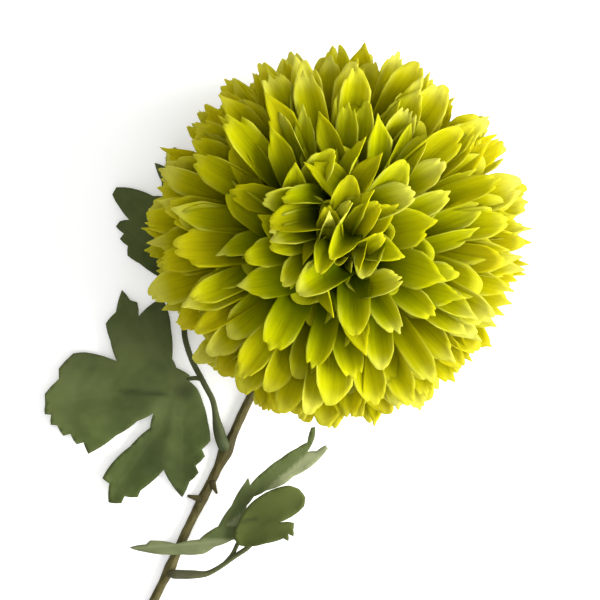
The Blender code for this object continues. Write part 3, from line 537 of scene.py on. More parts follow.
    def controls(self, petal: Petal) -> np.ndarray:
        """The four control points of a petal's arc, as rows of distance along and height."""
        polar = math.radians(petal.polar * self.root_polar_last / self.polar_last)
        root = np.array([
            self.core_radius * math.sin(polar) * self.root_sink,
            self.core_z + self.core_half_height * math.cos(polar) * self.root_sink,
        ])
        tip = np.array(petal.tip)
        chord = float(np.linalg.norm(tip - root))
        aim = math.atan2(tip[0] - root[0], tip[1] - root[1])
        steepest = aim - math.radians(self.first_back)
        first = min(max(2 * aim - petal.lean, steepest), aim + math.radians(self.first_ahead))
        reach = chord * self.handle
        leave = np.array([math.sin(first), math.cos(first)]) * reach
        arrive = np.array([math.sin(petal.lean), math.cos(petal.lean)]) * reach
        return np.stack([root, root + leave, tip - arrive, tip])

    def heart_turn(self, leaned: float) -> np.ndarray:
        """Rotation about the dome's middle that leans the heart of the bloom, as a 3 by 3 matrix."""
        angle = math.radians(self.heart_lean) * leaned
        toward = math.radians(self.heart_azimuth)
        x, y = -math.sin(toward), math.cos(toward)
        cross = np.array([[0, 0, y], [0, 0, -x], [-y, x, 0]])
        return np.eye(3) + math.sin(angle) * cross + (1 - math.cos(angle)) * (cross @ cross)


@dataclass(frozen=True)
class PetalCloth:
    """How finely a petal is made.

    Attributes:
        along: Cells along the petal.
        across: Cells across it.
        thick: Thickness.
        floor_gap: Least height over the surface.
        cup_gain: Rise of an edge for each unit of cup and half width.
        cup_power: How late across the petal that rise comes.
        tip_from: Share of the length at which curl and waves begin.
        waves: Waves along each edge, in radians over the length.
        wave_offset: Half the difference in phase between the two edges.
        crease: Depth of the crease along the middle.
        crease_width: Half width of the crease, as a share of the petal's half width.
        rib_height: Height of the low ribs beside it.
        rib_count: Number of those ribs.
        profile: Share of the full width at each share of the length.
    """

    along: int = 18
    across: int = 18
    thick: float = 0.36
    floor_gap: float = 0.06
    cup_gain: float = 2.6
    cup_power: float = 2.2
    tip_from: float = 0.6
    waves: float = 13.0
    wave_offset: float = 1.3
    crease: float = 0.35
    crease_width: float = 0.16
    rib_height: float = 0.07
    rib_count: float = 5.0
    profile: Steps = (
        (0, 0.30), (0.25, 0.50), (0.45, 0.80), (0.62, 0.96), (0.78, 1.0), (0.9, 0.97), (1.0, 0.82),
    )

    def shape(self, petal: Petal, rule: PetalRule) -> tuple[np.ndarray, np.ndarray, dict[str, np.ndarray]]:
        """Points, faces and marks of one petal.

        Args:
            petal: The petal.
            rule: The rule that it stands by.

        Returns:
            Points, four-cornered faces and the marks that its colour follows.
        """
        u = np.linspace(0.0, 1.0, self.along + 1)[:, None]
        v = np.linspace(-1.0, 1.0, self.across + 1)[None, :]
        s = u * petal.style.reach(v, petal.notches)
        p0, p1, p2, p3 = rule.controls(petal)
        r = 1 - s
        ease = s[..., None]
        rest = r[..., None]
        arc = p0 * rest ** 3 + p1 * 3 * rest ** 2 * ease + p2 * 3 * rest * ease ** 2 + p3 * ease ** 3
        way = (p1 - p0) * rest ** 2 + (p2 - p1) * 2 * rest * ease + (p3 - p2) * ease ** 2
        way /= np.linalg.norm(way, axis=-1, keepdims=True)
        out = np.array([math.cos(petal.heading), math.sin(petal.heading), 0.0])
        side = np.array([-out[1], out[0], 0.0])
        up = np.array([0.0, 0.0, 1.0])
        bend = petal.sideways - min(max(petal.sideways, -rule.root_sideways), rule.root_sideways)
        swerve = petal.sideways - bend * rest ** 2 + petal.hook * ease ** 3
        place = arc[..., :1] * out + arc[..., 1:] * up + swerve * side
        ahead = way[..., :1] * out + way[..., 1:] * up
        turn = (petal.twist * s)[..., None]
        across = side * np.cos(turn) + np.cross(ahead, np.broadcast_to(side, ahead.shape)) * np.sin(turn)
        normal = np.cross(ahead, across)
        half = np.interp(s, *zip(*self.profile)) * petal.width / 2
        edge = np.abs(v) * np.ones_like(s)
        rise = petal.cup * self.cup_gain * half * edge ** self.cup_power * (1 + petal.bias * v)
        late = np.clip((s - self.tip_from) / (1 - self.tip_from), 0, 1)
        rise = rise + petal.curl * late ** 2
        wave = np.sin(s * self.waves + petal.phase + np.sign(v) * self.wave_offset)
        rise = rise + petal.ruffle * wave * edge ** 3 * late
        beyond_root = np.clip(s * 2 - 0.6, 0, 1)
        rise = rise - self.crease * np.exp(-((v / self.crease_width) ** 2)) * beyond_root
        rise = rise + self.rib_height * np.cos(v * math.pi * self.rib_count) * beyond_root
        middle = place + across * (half * v)[..., None] + normal * rise[..., None]
        thin = self.thick / 2
        both = np.stack([middle + normal * thin, middle - normal * thin])
        matrix = rule.heart_turn(petal.leaned)
        centre = np.array([0.0, 0.0, rule.waist_z])
        both = (both - centre) @ matrix.T + centre
        low = self.floor_gap + np.array([self.thick, 0.0])[:, None, None]
        both[..., 2] = np.maximum(both[..., 2], low)
        points = both.reshape(-1, 3)
        whole = np.broadcast_to(s, (2, *s.shape)).reshape(-1)
        sides = np.broadcast_to(edge, (2, *s.shape)).reshape(-1)
        # The along mark takes the petal's paler shift, which is painted light or painted shade by its
        # direction.
        marks = {
            "along": whole + petal.paler * (1 - whole ** 3),
            "edge": sides,
            "tone": np.full(whole.shape, petal.tone),
            "outer": np.full(whole.shape, petal.polar / rule.polar_last),
        }
        return points, sheet_faces(self.along + 1, self.across + 1), marks


@dataclass
class Graph:
    """Short way to write the nodes of a material or of a group."""

    tree: bpy.types.NodeTree

    def add(self, kind: str, **values: object) -> bpy.types.Node:
        """New node with its properties set.

        Args:
            kind: Blender's name of the node type.
            values: Properties by name.

        Returns:
            The node.
        """
        node = self.tree.nodes.new(kind)
        for name, value in values.items():
            setattr(node, name, value)
        return node

    def link(self, start: bpy.types.NodeSocket, end: bpy.types.NodeSocket) -> None:
        """Join two sockets."""
        self.tree.links.new(start, end)

    def maths(self, operation: str, first: object, second: object = 0.0) -> bpy.types.NodeSocket:
        """Result of a Math node; each operand is a socket or a number."""
        node = self.add("ShaderNodeMath", operation=operation)
        for socket, value in zip(node.inputs, (first, second)):
            if isinstance(value, bpy.types.NodeSocket):
                self.link(value, socket)
            else:
                socket.default_value = value
        return node.outputs[0]

    def blend(self, share: object, first: object, second: object, mode: str = "MIX") -> bpy.types.NodeSocket:
        """Colour part of the way from the first to the second; each is a socket or a colour."""
        node = self.add("ShaderNodeMix", data_type="RGBA", blend_type=mode)
        for socket, value in zip((node.inputs[0], node.inputs[6], node.inputs[7]), (share, first, second)):
            if isinstance(value, bpy.types.NodeSocket):
                self.link(value, socket)
            elif isinstance(value, tuple):
                socket.default_value = (*value, 1.0)
            else:
                socket.default_value = value
        return node.outputs[2]

    def mark(self, name: str) -> bpy.types.NodeSocket:
        """Value of a mesh's mark."""
        return self.add("ShaderNodeAttribute", attribute_name=name).outputs["Fac"]

    def grey(self, value: bpy.types.NodeSocket) -> bpy.types.NodeSocket:
        """Grey colour from a value."""
        node = self.add("ShaderNodeCombineColor")
        for socket in node.inputs:
            self.link(value, socket)
        return node.outputs[0]

    def span(self, value: object, low: float, high: float,
             start: float = 0.0, end: float = 1.0) -> bpy.types.NodeSocket:
        """Smoothly mapped value, from low..high to start..end."""
        node = self.add("ShaderNodeMapRange", interpolation_type="SMOOTHSTEP")
        self.link(value, node.inputs["Value"])
        for name, number in (("From Min", low), ("From Max", high), ("To Min", start), ("To Max", end)):
            node.inputs[name].default_value = number
        return node.outputs["Result"]

    def ramp(self, value: bpy.types.NodeSocket,
             stops: Sequence[tuple[float, Colour]]) -> bpy.types.NodeSocket:
        """Colour ramp with the given stops."""
        node = self.add("ShaderNodeValToRGB")
        elements = node.color_ramp.elements
        while len(elements) < len(stops):
            elements.new(0.5)
        for element, (place, colour) in zip(elements, stops):
            element.position = place
            element.color = (*colour, 1.0)
        self.link(value, node.inputs[0])
        return node.outputs[0]


class Effects:
    """Shader node groups that more than one finish uses."""

    _mottle: bpy.types.NodeTree | None = None
    _fibres: bpy.types.NodeTree | None = None

    @classmethod
    def mottle(cls) -> bpy.types.NodeTree:
        """Soft blotches over an object: a mask, at a scale."""
        if cls._mottle is None:
            tree = bpy.data.node_groups.new("soft_mottle", "ShaderNodeTree")
            tree.interface.new_socket("Scale", in_out="INPUT", socket_type="NodeSocketFloat")
            tree.interface.new_socket("Mask", in_out="OUTPUT", socket_type="NodeSocketFloat")
            graph = Graph(tree)
            start = graph.add("NodeGroupInput")
            end = graph.add("NodeGroupOutput")
            place = graph.add("ShaderNodeTexCoord")
            noise = graph.add("ShaderNodeTexNoise")
            noise.inputs["Detail"].default_value = 4.0
            noise.inputs["Roughness"].default_value = 0.6
            graph.link(place.outputs["Object"], noise.inputs["Vector"])
            graph.link(start.outputs["Scale"], noise.inputs["Scale"])
            graph.link(graph.span(noise.outputs[0], 0.34, 0.66), end.inputs["Mask"])
            cls._mottle = tree
        return cls._mottle

    @classmethod
    def fibres(cls) -> bpy.types.NodeTree:
        """Fine fibres along a surface: heights from two marks, one along and one across."""
        if cls._fibres is None:
            tree = bpy.data.node_groups.new("fine_fibres", "ShaderNodeTree")
            for name in ("Along", "Across", "Long Scale", "Fine Scale"):
                tree.interface.new_socket(name, in_out="INPUT", socket_type="NodeSocketFloat")
            tree.interface.new_socket("Height", in_out="OUTPUT", socket_type="NodeSocketFloat")
            graph = Graph(tree)
            start = graph.add("NodeGroupInput")
            end = graph.add("NodeGroupOutput")
            place = graph.add("ShaderNodeCombineXYZ")
            along = graph.maths("MULTIPLY", start.outputs["Along"], start.outputs["Long Scale"])
            across = graph.maths("MULTIPLY", start.outputs["Across"], start.outputs["Fine Scale"])
            graph.link(along, place.inputs[0])
            graph.link(across, place.inputs[1])
            noise = graph.add("ShaderNodeTexNoise")
            noise.inputs["Scale"].default_value = 1.0
            noise.inputs["Detail"].default_value = 3.0
            graph.link(place.outputs[0], noise.inputs["Vector"])
            graph.link(noise.outputs[0], end.inputs["Height"])
            cls._fibres = tree
        return cls._fibres


def new_material(name: str) -> tuple[bpy.types.Material, Graph, bpy.types.Node]:
    """Empty material.

    Args:
        name: Its name.

    Returns:
        The material, its graph and its Principled shader.
    """
    made = bpy.data.materials.new(name)
    made.use_nodes = True
    return made, Graph(made.node_tree), made.node_tree.nodes["Principled BSDF"]


def bump(graph: Graph, shader: bpy.types.Node, height: bpy.types.NodeSocket, depth: float) -> None:
    """Raise a surface by a height, to a depth in millimetres."""
    node = graph.add("ShaderNodeBump")
    node.inputs["Strength"].default_value = 1.0
    node.inputs["Distance"].default_value = depth * MM
    graph.link(height, node.inputs["Height"])
    graph.link(node.outputs[0], shader.inputs["Normal"])


def group(graph: Graph, tree: bpy.types.NodeTree, **values: object) -> bpy.types.Node:
    """Place a node group with its values; a name's underscores stand for spaces."""
    node = graph.add("ShaderNodeGroup", node_tree=tree)
    for name, value in values.items():
        socket = node.inputs[name.replace("_", " ")]
        if isinstance(value, bpy.types.NodeSocket):
            graph.link(value, socket)
        else:
            socket.default_value = value
    return node


@dataclass(frozen=True)
class PetalFinish:
    """Soft petal: dark olive at the root, partly its own colour and partly painted shade of the depths
    between petals, yellow green, then a paler edge and tip.

    The heart's petals are greener than the rim's, as their own colour, and darker along most of their length,
    as painted shade of the bloom's depths.

    Attributes:
        heart: Colours along a petal of the heart, darkened as painted shade of the bloom's depths.
        rim: Colours along a petal of the rim.
        outward: Values of the mark "outer" between which the heart's colours give way to the rim's.
        pale: Colour of the pale tips, and of the pale edges, which are partly the petal's own margin and
            partly a painted highlight.
        green: Colour of the blotches.
        warm: Colour that some petals turn to.
        tone_shift: How far a petal's tone moves its colours along it.
        blotch_scale: Scale of the blotches.
        blotch_share: Share of the green on them.
        warm_share: Most that a petal turns warm.
        pale_share: Most that an edge or a tip turns pale.
        streaks: Brightness between the fibres and on them.
        fibres: Scale of the fibres along and across.
        depth: Depth of the fibres.
    """

    heart: Sequence[tuple[float, Colour]] = (
        (0.30, (0.030, 0.048, 0.0002)),
        (0.52, (0.059, 0.085, 0.0003)),
        (0.74, (0.158, 0.182, 0.0004)),
        (0.90, (0.308, 0.321, 0.001)),
        (0.99, (0.412, 0.414, 0.010)),
    )
    rim: Sequence[tuple[float, Colour]] = (
        (0.30, (0.042, 0.052, 0.0002)),
        (0.52, (0.155, 0.154, 0.0003)),
        (0.74, (0.278, 0.262, 0.0005)),
        (0.90, (0.355, 0.333, 0.003)),
        (0.99, (0.415, 0.396, 0.034)),
    )
    outward: tuple[float, float] = (0.26, 0.60)
    pale: Colour = (0.46, 0.455, 0.10)
    green: Colour = (0.10, 0.15, 0.001)
    warm: Colour = (0.330, 0.250, 0.006)
    tone_shift: float = 0.03
    blotch_scale: float = 55.0
    blotch_share: float = 0.16
    warm_share: float = 0.28
    pale_share: float = 0.6
    streaks: tuple[float, float] = (0.87, 1.04)
    fibres: tuple[float, float] = (3.0, 16.0)
    depth: float = 0.12
    roughness: float = 0.7
    shine: float = 0.0
    glow: float = 0.45
    glow_radius: Colour = (1.0, 0.9, 0.2)
    glow_scale: float = 0.002

    def build(self) -> bpy.types.Material:
        """The petals' material."""
        made, graph, shader = new_material("petal_cloth")
        along = graph.mark("along")
        edge = graph.mark("edge")
        tone = graph.mark("tone")
        shifted = graph.maths("ADD", along, graph.maths("MULTIPLY", tone, self.tone_shift))
        outward = graph.span(graph.mark("outer"), *self.outward)
        # Colours along the petal: the dark root is partly painted shade between petals, and the heart's
        # darker colours are painted shade of the bloom's depths.
        body = graph.blend(outward, graph.ramp(shifted, self.heart), graph.ramp(shifted, self.rim))
        blotch = group(graph, Effects.mottle(), Scale=self.blotch_scale).outputs[0]
        body = graph.blend(graph.maths("MULTIPLY", blotch, self.blotch_share), body, self.green)
        warmth = graph.span(tone, -1.0, 0.0, self.warm_share, 0.0)
        body = graph.blend(graph.maths("MULTIPLY", warmth, graph.span(along, 0.4, 0.9)), body, self.warm)
        # Pale edges near the tip: partly the petal's own pale margin and partly a painted highlight.
        rim = graph.span(edge, 0.62, 1.0)
        late = graph.span(along, 0.66, 1.0)
        tip_edge_mask = graph.maths("MULTIPLY", rim, late)
        pale_edge_and_highlight = graph.maths("MULTIPLY", tip_edge_mask, graph.span(tone, -1.0, 1.0, 0.0, self.pale_share))
        light = graph.span(tone, 0.1, 1.0, 0.0, self.pale_share)
        tip = graph.maths("MULTIPLY", graph.span(along, 0.84, 1.0), light)
        body = graph.blend(graph.maths("MAXIMUM", pale_edge_and_highlight, tip), body, self.pale)
        long_scale, fine_scale = self.fibres
        fibres = group(graph, Effects.fibres(), Along=along, Across=edge,
                       Long_Scale=long_scale, Fine_Scale=fine_scale)
        streak = graph.span(fibres.outputs[0], 0.3, 0.7, *self.streaks)
        body = graph.blend(1.0, body, graph.grey(streak), "MULTIPLY")
        graph.link(body, shader.inputs["Base Color"])
        shader.inputs["Roughness"].default_value = self.roughness
        shader.inputs["Specular IOR Level"].default_value = self.shine
        shader.inputs["Subsurface Weight"].default_value = self.glow
        shader.inputs["Subsurface Radius"].default_value = self.glow_radius
        shader.inputs["Subsurface Scale"].default_value = self.glow_scale
        bump(graph, shader, fibres.outputs[0], self.depth)
        return made


@dataclass(frozen=True)
class LeafFinish:
    """Matte leaf: dark green above with paler veins, and pale grey green underneath.

    Attributes:
        name: Name of the material.
        dark: Upper side between its blotches.
        light: Blotches of the upper side.
        vein: Colour along the ribs and the rim.
        haze: Greyish tint of broad soft spots.
        bright: Colour of the fresh leaf.
        deep: Colour of the painted shade in creases and shaded spots.
        under: Underside, and its ribs.
        under_dark: Underside between its blotches.
        scales: Scales of the broad spots, the blotches and the fine weave.
        vein_share: Share of the vein colour along the ribs, and so on for the next three.
        under_rib_share: Share of the paler underside along its ribs.
        rim_share: Share of the vein colour along the rim.
        rough_spread: Change of roughness over the fine weave.
        depth: Depth of the fine weave.
    """

    name: str = "leaf_cloth"
    dark: Colour = (0.036, 0.054, 0.010)
    light: Colour = (0.080, 0.104, 0.027)
    vein: Colour = (0.10, 0.125, 0.042)
    haze: Colour = (0.105, 0.120, 0.060)
    bright: Colour = (0.054, 0.068, 0.011)
    deep: Colour = (0.012, 0.018, 0.004)
    under: Colour = (0.195, 0.215, 0.110)
    under_dark: Colour = (0.115, 0.130, 0.060)
    scales: tuple[float, float, float] = (11.0, 26.0, 140.0)
    vein_share: float = 0.12
    haze_share: float = 0.22
    bright_share: float = 0.8
    painted_shade_share: float = 0.7
    under_rib_share: float = 0.4
    rim_share: float = 0.10
    rough_spread: float = 0.06
    depth: float = 0.05
    roughness: float = 0.8
    shine: float = 0.15
    sheen: float = 0.04

    def build(self) -> bpy.types.Material:
        """The leaves' material."""
        made, graph, shader = new_material(self.name)
        ribs = graph.mark("rib")
        rim = graph.mark("rim")
        under = graph.mark("under")
        mottles = [group(graph, Effects.mottle(), Scale=scale) for scale in self.scales]
        soft, blotch, fine = (mottle.outputs[0] for mottle in mottles)
        line = graph.span(ribs, 0.1, 0.9, 1.0, 0.0)
        top = graph.blend(blotch, self.dark, self.light)
        layers = (
            (line, self.vein_share, self.vein),
            (soft, self.haze_share, self.haze),
            (graph.mark("fresh"), self.bright_share, self.bright),
            # Painted shade in creases and shaded spots.
            (graph.mark("shade"), self.painted_shade_share, self.deep),
        )
        for mask, share, colour in layers:
            top = graph.blend(graph.maths("MULTIPLY", mask, share), top, colour)
        low = graph.blend(blotch, self.under_dark, self.under)
        low = graph.blend(graph.maths("MULTIPLY", line, self.under_rib_share), low, self.under)
        body = graph.blend(under, top, low)
        edge = graph.span(rim, 0.0, 0.9, 1.0, 0.0)
        body = graph.blend(graph.maths("MULTIPLY", edge, self.rim_share), body, self.vein)
        graph.link(body, shader.inputs["Base Color"])
        low_rough, high_rough = self.roughness - self.rough_spread, self.roughness + self.rough_spread
        rough = graph.span(fine, 0.0, 1.0, low_rough, high_rough)
        graph.link(rough, shader.inputs["Roughness"])
        shader.inputs["Specular IOR Level"].default_value = self.shine
        shader.inputs["Sheen Weight"].default_value = self.sheen
        bump(graph, shader, fine, self.depth)
        return made


@dataclass(frozen=True)
class BarkFinish:
    """Matte stem or stalk: mottled along its length, with fine ridges.

    Attributes:
        name: Name of the material.
        dark: Colour between its blotches and ridges.
        light: Colour on them.
        swollen: Colour where it is swollen.
        blotch_scale: Scale of the blotches.
        fibres: Scale of the ridges along and across.
        blotch_share: Share of the light colour on the blotches.
        ridge_share: Share of the light colour on the ridges.
        swollen_share: Most that the swollen colour covers.
        rough_spread: Change of roughness over the ridges.
        depth: Depth of the ridges.
    """

    name: str
    dark: Colour
    light: Colour
    swollen: Colour = (0.026, 0.022, 0.008)
    blotch_scale: float = 70.0
    fibres: tuple[float, float] = (0.25, 9.0)
    blotch_share: float = 0.55
    ridge_share: float = 0.45
    swollen_share: float = 0.6
    rough_spread: float = 0.08
    depth: float = 0.25
    roughness: float = 0.62
    shine: float = 0.15

    def build(self) -> bpy.types.Material:
        """The stem's or stalk's material."""
        made, graph, shader = new_material(self.name)
        around = graph.mark("around")
        along = graph.mark("along")
        swell = graph.mark("swell")
        blotch = group(graph, Effects.mottle(), Scale=self.blotch_scale).outputs[0]
        long_scale, fine_scale = self.fibres
        fibres = group(graph, Effects.fibres(), Along=along, Across=around,
                       Long_Scale=long_scale, Fine_Scale=fine_scale)
        streak = graph.span(fibres.outputs[0], 0.35, 0.65)
        broad = graph.maths("MULTIPLY", blotch, self.blotch_share)
        share = graph.maths("ADD", broad, graph.maths("MULTIPLY", streak, self.ridge_share))
        body = graph.blend(share, self.dark, self.light)
        body = graph.blend(graph.maths("MULTIPLY", swell, self.swollen_share), body, self.swollen)
        graph.link(body, shader.inputs["Base Color"])
        low_rough, high_rough = self.roughness - self.rough_spread, self.roughness + self.rough_spread
        rough = graph.span(streak, 0.0, 1.0, high_rough, low_rough)
        graph.link(rough, shader.inputs["Roughness"])
        shader.inputs["Specular IOR Level"].default_value = self.shine
        bump(graph, shader, fibres.outputs[0], self.depth)
        return made


@dataclass
class Bloom:
    """The bloom: its core and its petals, in a few pieces by row.

    Attributes:
        rule: Where the petals stand.
        cloth: How finely the outer petals are made.
        finish: Finish of core and petals.
        look_seed: Seed of the petals' own looks.
        fill_seed: Seed of the under layer, which takes every fill_every-th place of the spiral from
            fill_first on, all but the last fill_spare.
        fill_shorter: How far its tips stay inside the dome.
        fill_inward: Share of the reach that its petals keep above the spiral's first row.
        fill_lower: How much lower their tips are there.
        between_spare: Places at the spiral's end that the between layer leaves free.
        between_width: Share of the width that its petals have.
        cup_more: Deeper cup of spiral and between petals.
        curl_most: Most that a tip rises or falls.
        hook_most: Most that a tip bends sideways.
        bias_most: Most that one edge rises more than the other.
        ruffle_depths: Least and most depth of the waves.
        notch_outer: Depth of notches round the rim.
        notch_inner: Depth of notches in heart and ring.
        notch_side: Places across between which notches lie.
        notch_shares: Least and most share of that depth.
        notch_counts: Least and most notches in a tip.
        core_sides: Points round the core.
        core_rows: Points from its top to its foot.
        core_inset: Its size against the solid's core.
        core_pole: Angle that it leaves open at either end, in radians.
        knob_height: Height of its knobs, and knobs: how many lie down it and round it.
        rim_seed: Seed of the between layer.
        rim_shorter: Least and most that its tips stay inside the dome.
        open_azimuth: Middle of the stretch where only every other between petal stands, and
            open_half: half that stretch.
        closing: Placed petals that close a gap in the rim.
        painted_light_azimuth: Direction of the ring's palest petals, which carry painted light, while those
            opposite carry painted shade.
        painted_light_most: How much painted light or painted shade makes the placed petals paler or darker by
            direction.
        lower_from: Sine of the heading under which a petal counts as a lower one.
        lower_notch: Share of the notches' depth that lower petals have.
        lower_styles: Tips of lower petals.
        rim_styles: Tips of the other petals of the spiral and between it.
        plain_cloth: How finely the under layer is made.
        rows: Name of each piece and its last polar angle.
    """

    rule: PetalRule = field(default_factory=PetalRule)
    cloth: PetalCloth = field(default_factory=PetalCloth)
    finish: PetalFinish = field(default_factory=PetalFinish)
    look_seed: int = 5
    fill_seed: int = 8
    fill_every: int = 2
    fill_shorter: float = 7.0
    fill_first: int = 4
    fill_spare: int = 24
    fill_inward: float = 0.86
    fill_lower: float = 9.0
    between_spare: int = 12
    between_width: float = 0.8
    cup_more: float = 1.3
    curl_most: float = 1.8
    hook_most: float = 2.0
    bias_most: float = 0.9
    ruffle_depths: tuple[float, float] = (0.3, 1.0)
    notch_outer: float = 0.055
    notch_inner: float = 0.035
    notch_side: float = 0.8
    notch_shares: tuple[float, float] = (0.2, 1.0)
    notch_counts: tuple[int, int] = (1, 4)
    core_sides: int = 48
    core_rows: int = 24
    core_inset: float = 0.97
    core_pole: float = 0.02
    knob_height: float = 0.025
    knobs: tuple[int, int] = (21, 13)
    rim_seed: int = 21
    rim_shorter: tuple[float, float] = (-1.0, 2.5)
    open_azimuth: float = 214.0
    open_half: float = 32.0
    closing: Sequence[PlacedRow] = (
        (44.0, 52.0, 50, 10.5, 90, 0, 14, 0.16, TipStyle.POINTED),
    )
    # Painted light on the placed petals toward this direction, and painted shade opposite it.
    painted_light_azimuth: float = 50.0
    painted_light_most: float = 0.14
    lower_from: float = -0.35
    lower_notch: float = 0.45
    lower_styles: Sequence[TipStyle] = (TipStyle.ROUND, TipStyle.POINTED, TipStyle.ROUND, TipStyle.ROUND)
    rim_styles: Sequence[TipStyle] = (TipStyle.TOOTHED, TipStyle.POINTED, TipStyle.POINTED, TipStyle.ROUND)
    plain_cloth: PetalCloth = field(default_factory=lambda: PetalCloth(along=10, across=8))
    rows: Sequence[tuple[str, float]] = (
        ("petals_heart", 34.0), ("petals_shoulder", 62.0), ("petals_waist", 92.0), ("petals_skirt", 180.0),
    )

    def under_layer(self) -> Iterator[Petal]:
        """Shorter petals that fill the depths between the others."""
        draw = random.Random(self.fill_seed)
        for index in range(self.fill_first, self.rule.petals - self.fill_spare, self.fill_every):
            petal = self.rule.spiral_petal(index + 0.5, draw, self.fill_shorter)
            if petal.polar < self.rule.polar_spiral:
                petal.tip = (petal.tip[0] * self.fill_inward, petal.tip[1] - self.fill_lower)
            yield petal

    def between_layer(self) -> Iterator[Petal]:
        """Narrower petals between those of the spiral, which close its rows."""
        draw = random.Random(self.rim_seed)
        for index in range(self.rule.petals - self.between_spare):
            petal = self.rule.spiral_petal(index + 0.5, draw, draw.uniform(*self.rim_shorter))
            off = abs((math.degrees(petal.heading) - self.open_azimuth + 180.0) % 360.0 - 180.0)
            open_here = off < self.open_half and index % 2 == 0
            if petal.polar > self.rule.polar_spiral and not petal.floor and not open_here:
                petal.width *= self.between_width
                yield petal

    def is_lower(self, petal: Petal) -> bool:
        """Whether a petal points toward the stem's side, where the petals are broad and smooth."""
        return math.sin(petal.heading) < self.lower_from

    def dress(self, petal: Petal, draw: random.Random) -> Petal:
        """Give a petal its own curl, ruffle, tone and notches."""
        outer = petal.polar > self.rule.polar_spiral
        petal.curl = 0.0 if petal.floor else draw.uniform(-self.curl_most, self.curl_most)
        petal.ruffle = draw.uniform(*self.ruffle_depths)
        petal.phase = draw.uniform(0.0, math.tau)
        petal.tone = draw.uniform(-1.0, 1.0)
        petal.bias = draw.uniform(-self.bias_most, self.bias_most)
        petal.hook = 0.0 if petal.floor else draw.uniform(-self.hook_most, self.hook_most)
        deep = self.notch_outer if outer else self.notch_inner
        if self.is_lower(petal):
            deep *= self.lower_notch
        petal.notches = [
            (draw.uniform(-self.notch_side, self.notch_side), draw.uniform(*self.notch_shares) * deep)
            for _ in range(draw.randint(*self.notch_counts))
        ]
        return petal

    def dressed(self) -> Iterator[Petal]:
        """Every petal of the outer layers with its own look."""
        draw = random.Random(self.look_seed)
        for petal in self.rule.placed():
            # Placed petals turn paler toward painted_light_azimuth as painted light, and darker on the far
            # side as painted shade.
            petal.paler = self.painted_light_most * math.cos(petal.heading - math.radians(self.painted_light_azimuth))
            yield self.dress(petal, draw)
        for petal in [*self.rule.spiral(), *self.between_layer()]:
            petal.style = draw.choice(self.lower_styles if self.is_lower(petal) else self.rim_styles)
            petal.cup *= self.cup_more
            yield self.dress(petal, draw)
        for row in self.closing:
            yield self.dress(self.rule.placed_petal(row), draw)

    def core(self, material: bpy.types.Material) -> None:
        """Egg-shaped core that the petals stand on."""
        piece = Piece("bloom_core", "bloom", "petal")
        sides, rows = self.core_sides, self.core_rows
        polar = np.linspace(self.core_pole, math.pi - self.core_pole, rows)[:, None]
        turn = np.linspace(0, math.tau, sides, endpoint=False)[None, :]
        down, about = self.knobs
        knob = 1 + self.knob_height * np.sin(polar * down) * np.sin(turn * about)
        radius = self.rule.core_radius * self.core_inset * np.sin(polar) * knob
        height = self.rule.core_z + self.rule.core_half_height * self.core_inset * np.cos(polar) * knob
        level = height * np.ones_like(turn)
        points = np.stack([radius * np.cos(turn), radius * np.sin(turn), level], axis=-1)
        faces = tube_faces(rows, sides)
        count = rows * sides
        values = {"along": 0.1, "edge": 0.0, "tone": 0.0, "outer": 0.5}
        marks = {name: np.full(count + 2, value) for name, value in values.items()}
        caps = np.array([points[0].mean(axis=0), points[-1].mean(axis=0)])
        piece.add(np.concatenate([points.reshape(-1, 3), caps]), faces, marks)
        piece.build(material)

    def build(self) -> None:
        """Make the core and every row of petals."""
        material = self.finish.build()
        self.core(material)
        pieces = [(Piece(name, "bloom", "petal"), last) for name, last in self.rows]
        layers = ((self.cloth, self.dressed()), (self.plain_cloth, self.under_layer()))
        for cloth, petals in layers:
            for petal in petals:
                piece = next(piece for piece, last in pieces if petal.polar <= last)
                piece.add(*cloth.shape(petal, self.rule))
        for piece, _ in pieces:
            piece.build(material)


def tube_faces(rings: int, sides: int) -> np.ndarray:
    """Faces of a closed tube whose two end points follow its rings.

    Args:
        rings: Number of rings.
        sides: Points in each ring.

    Returns:
        Rows of four point numbers, with a repeated one where a face has three corners.
    """
    grid = np.arange(rings * sides).reshape(rings, sides)
    after = np.roll(grid, -1, axis=1)
    walls = np.stack([grid[:-1], after[:-1], after[1:], grid[1:]], axis=-1).reshape(-1, 4)
    first, last = rings * sides, rings * sides + 1
    start = np.stack([np.full(sides, first), np.full(sides, first), after[0], grid[0]], axis=-1)
    end = np.stack([np.full(sides, last), np.full(sides, last), grid[-1], after[-1]], axis=-1)
    return np.concatenate([walls, start, end])


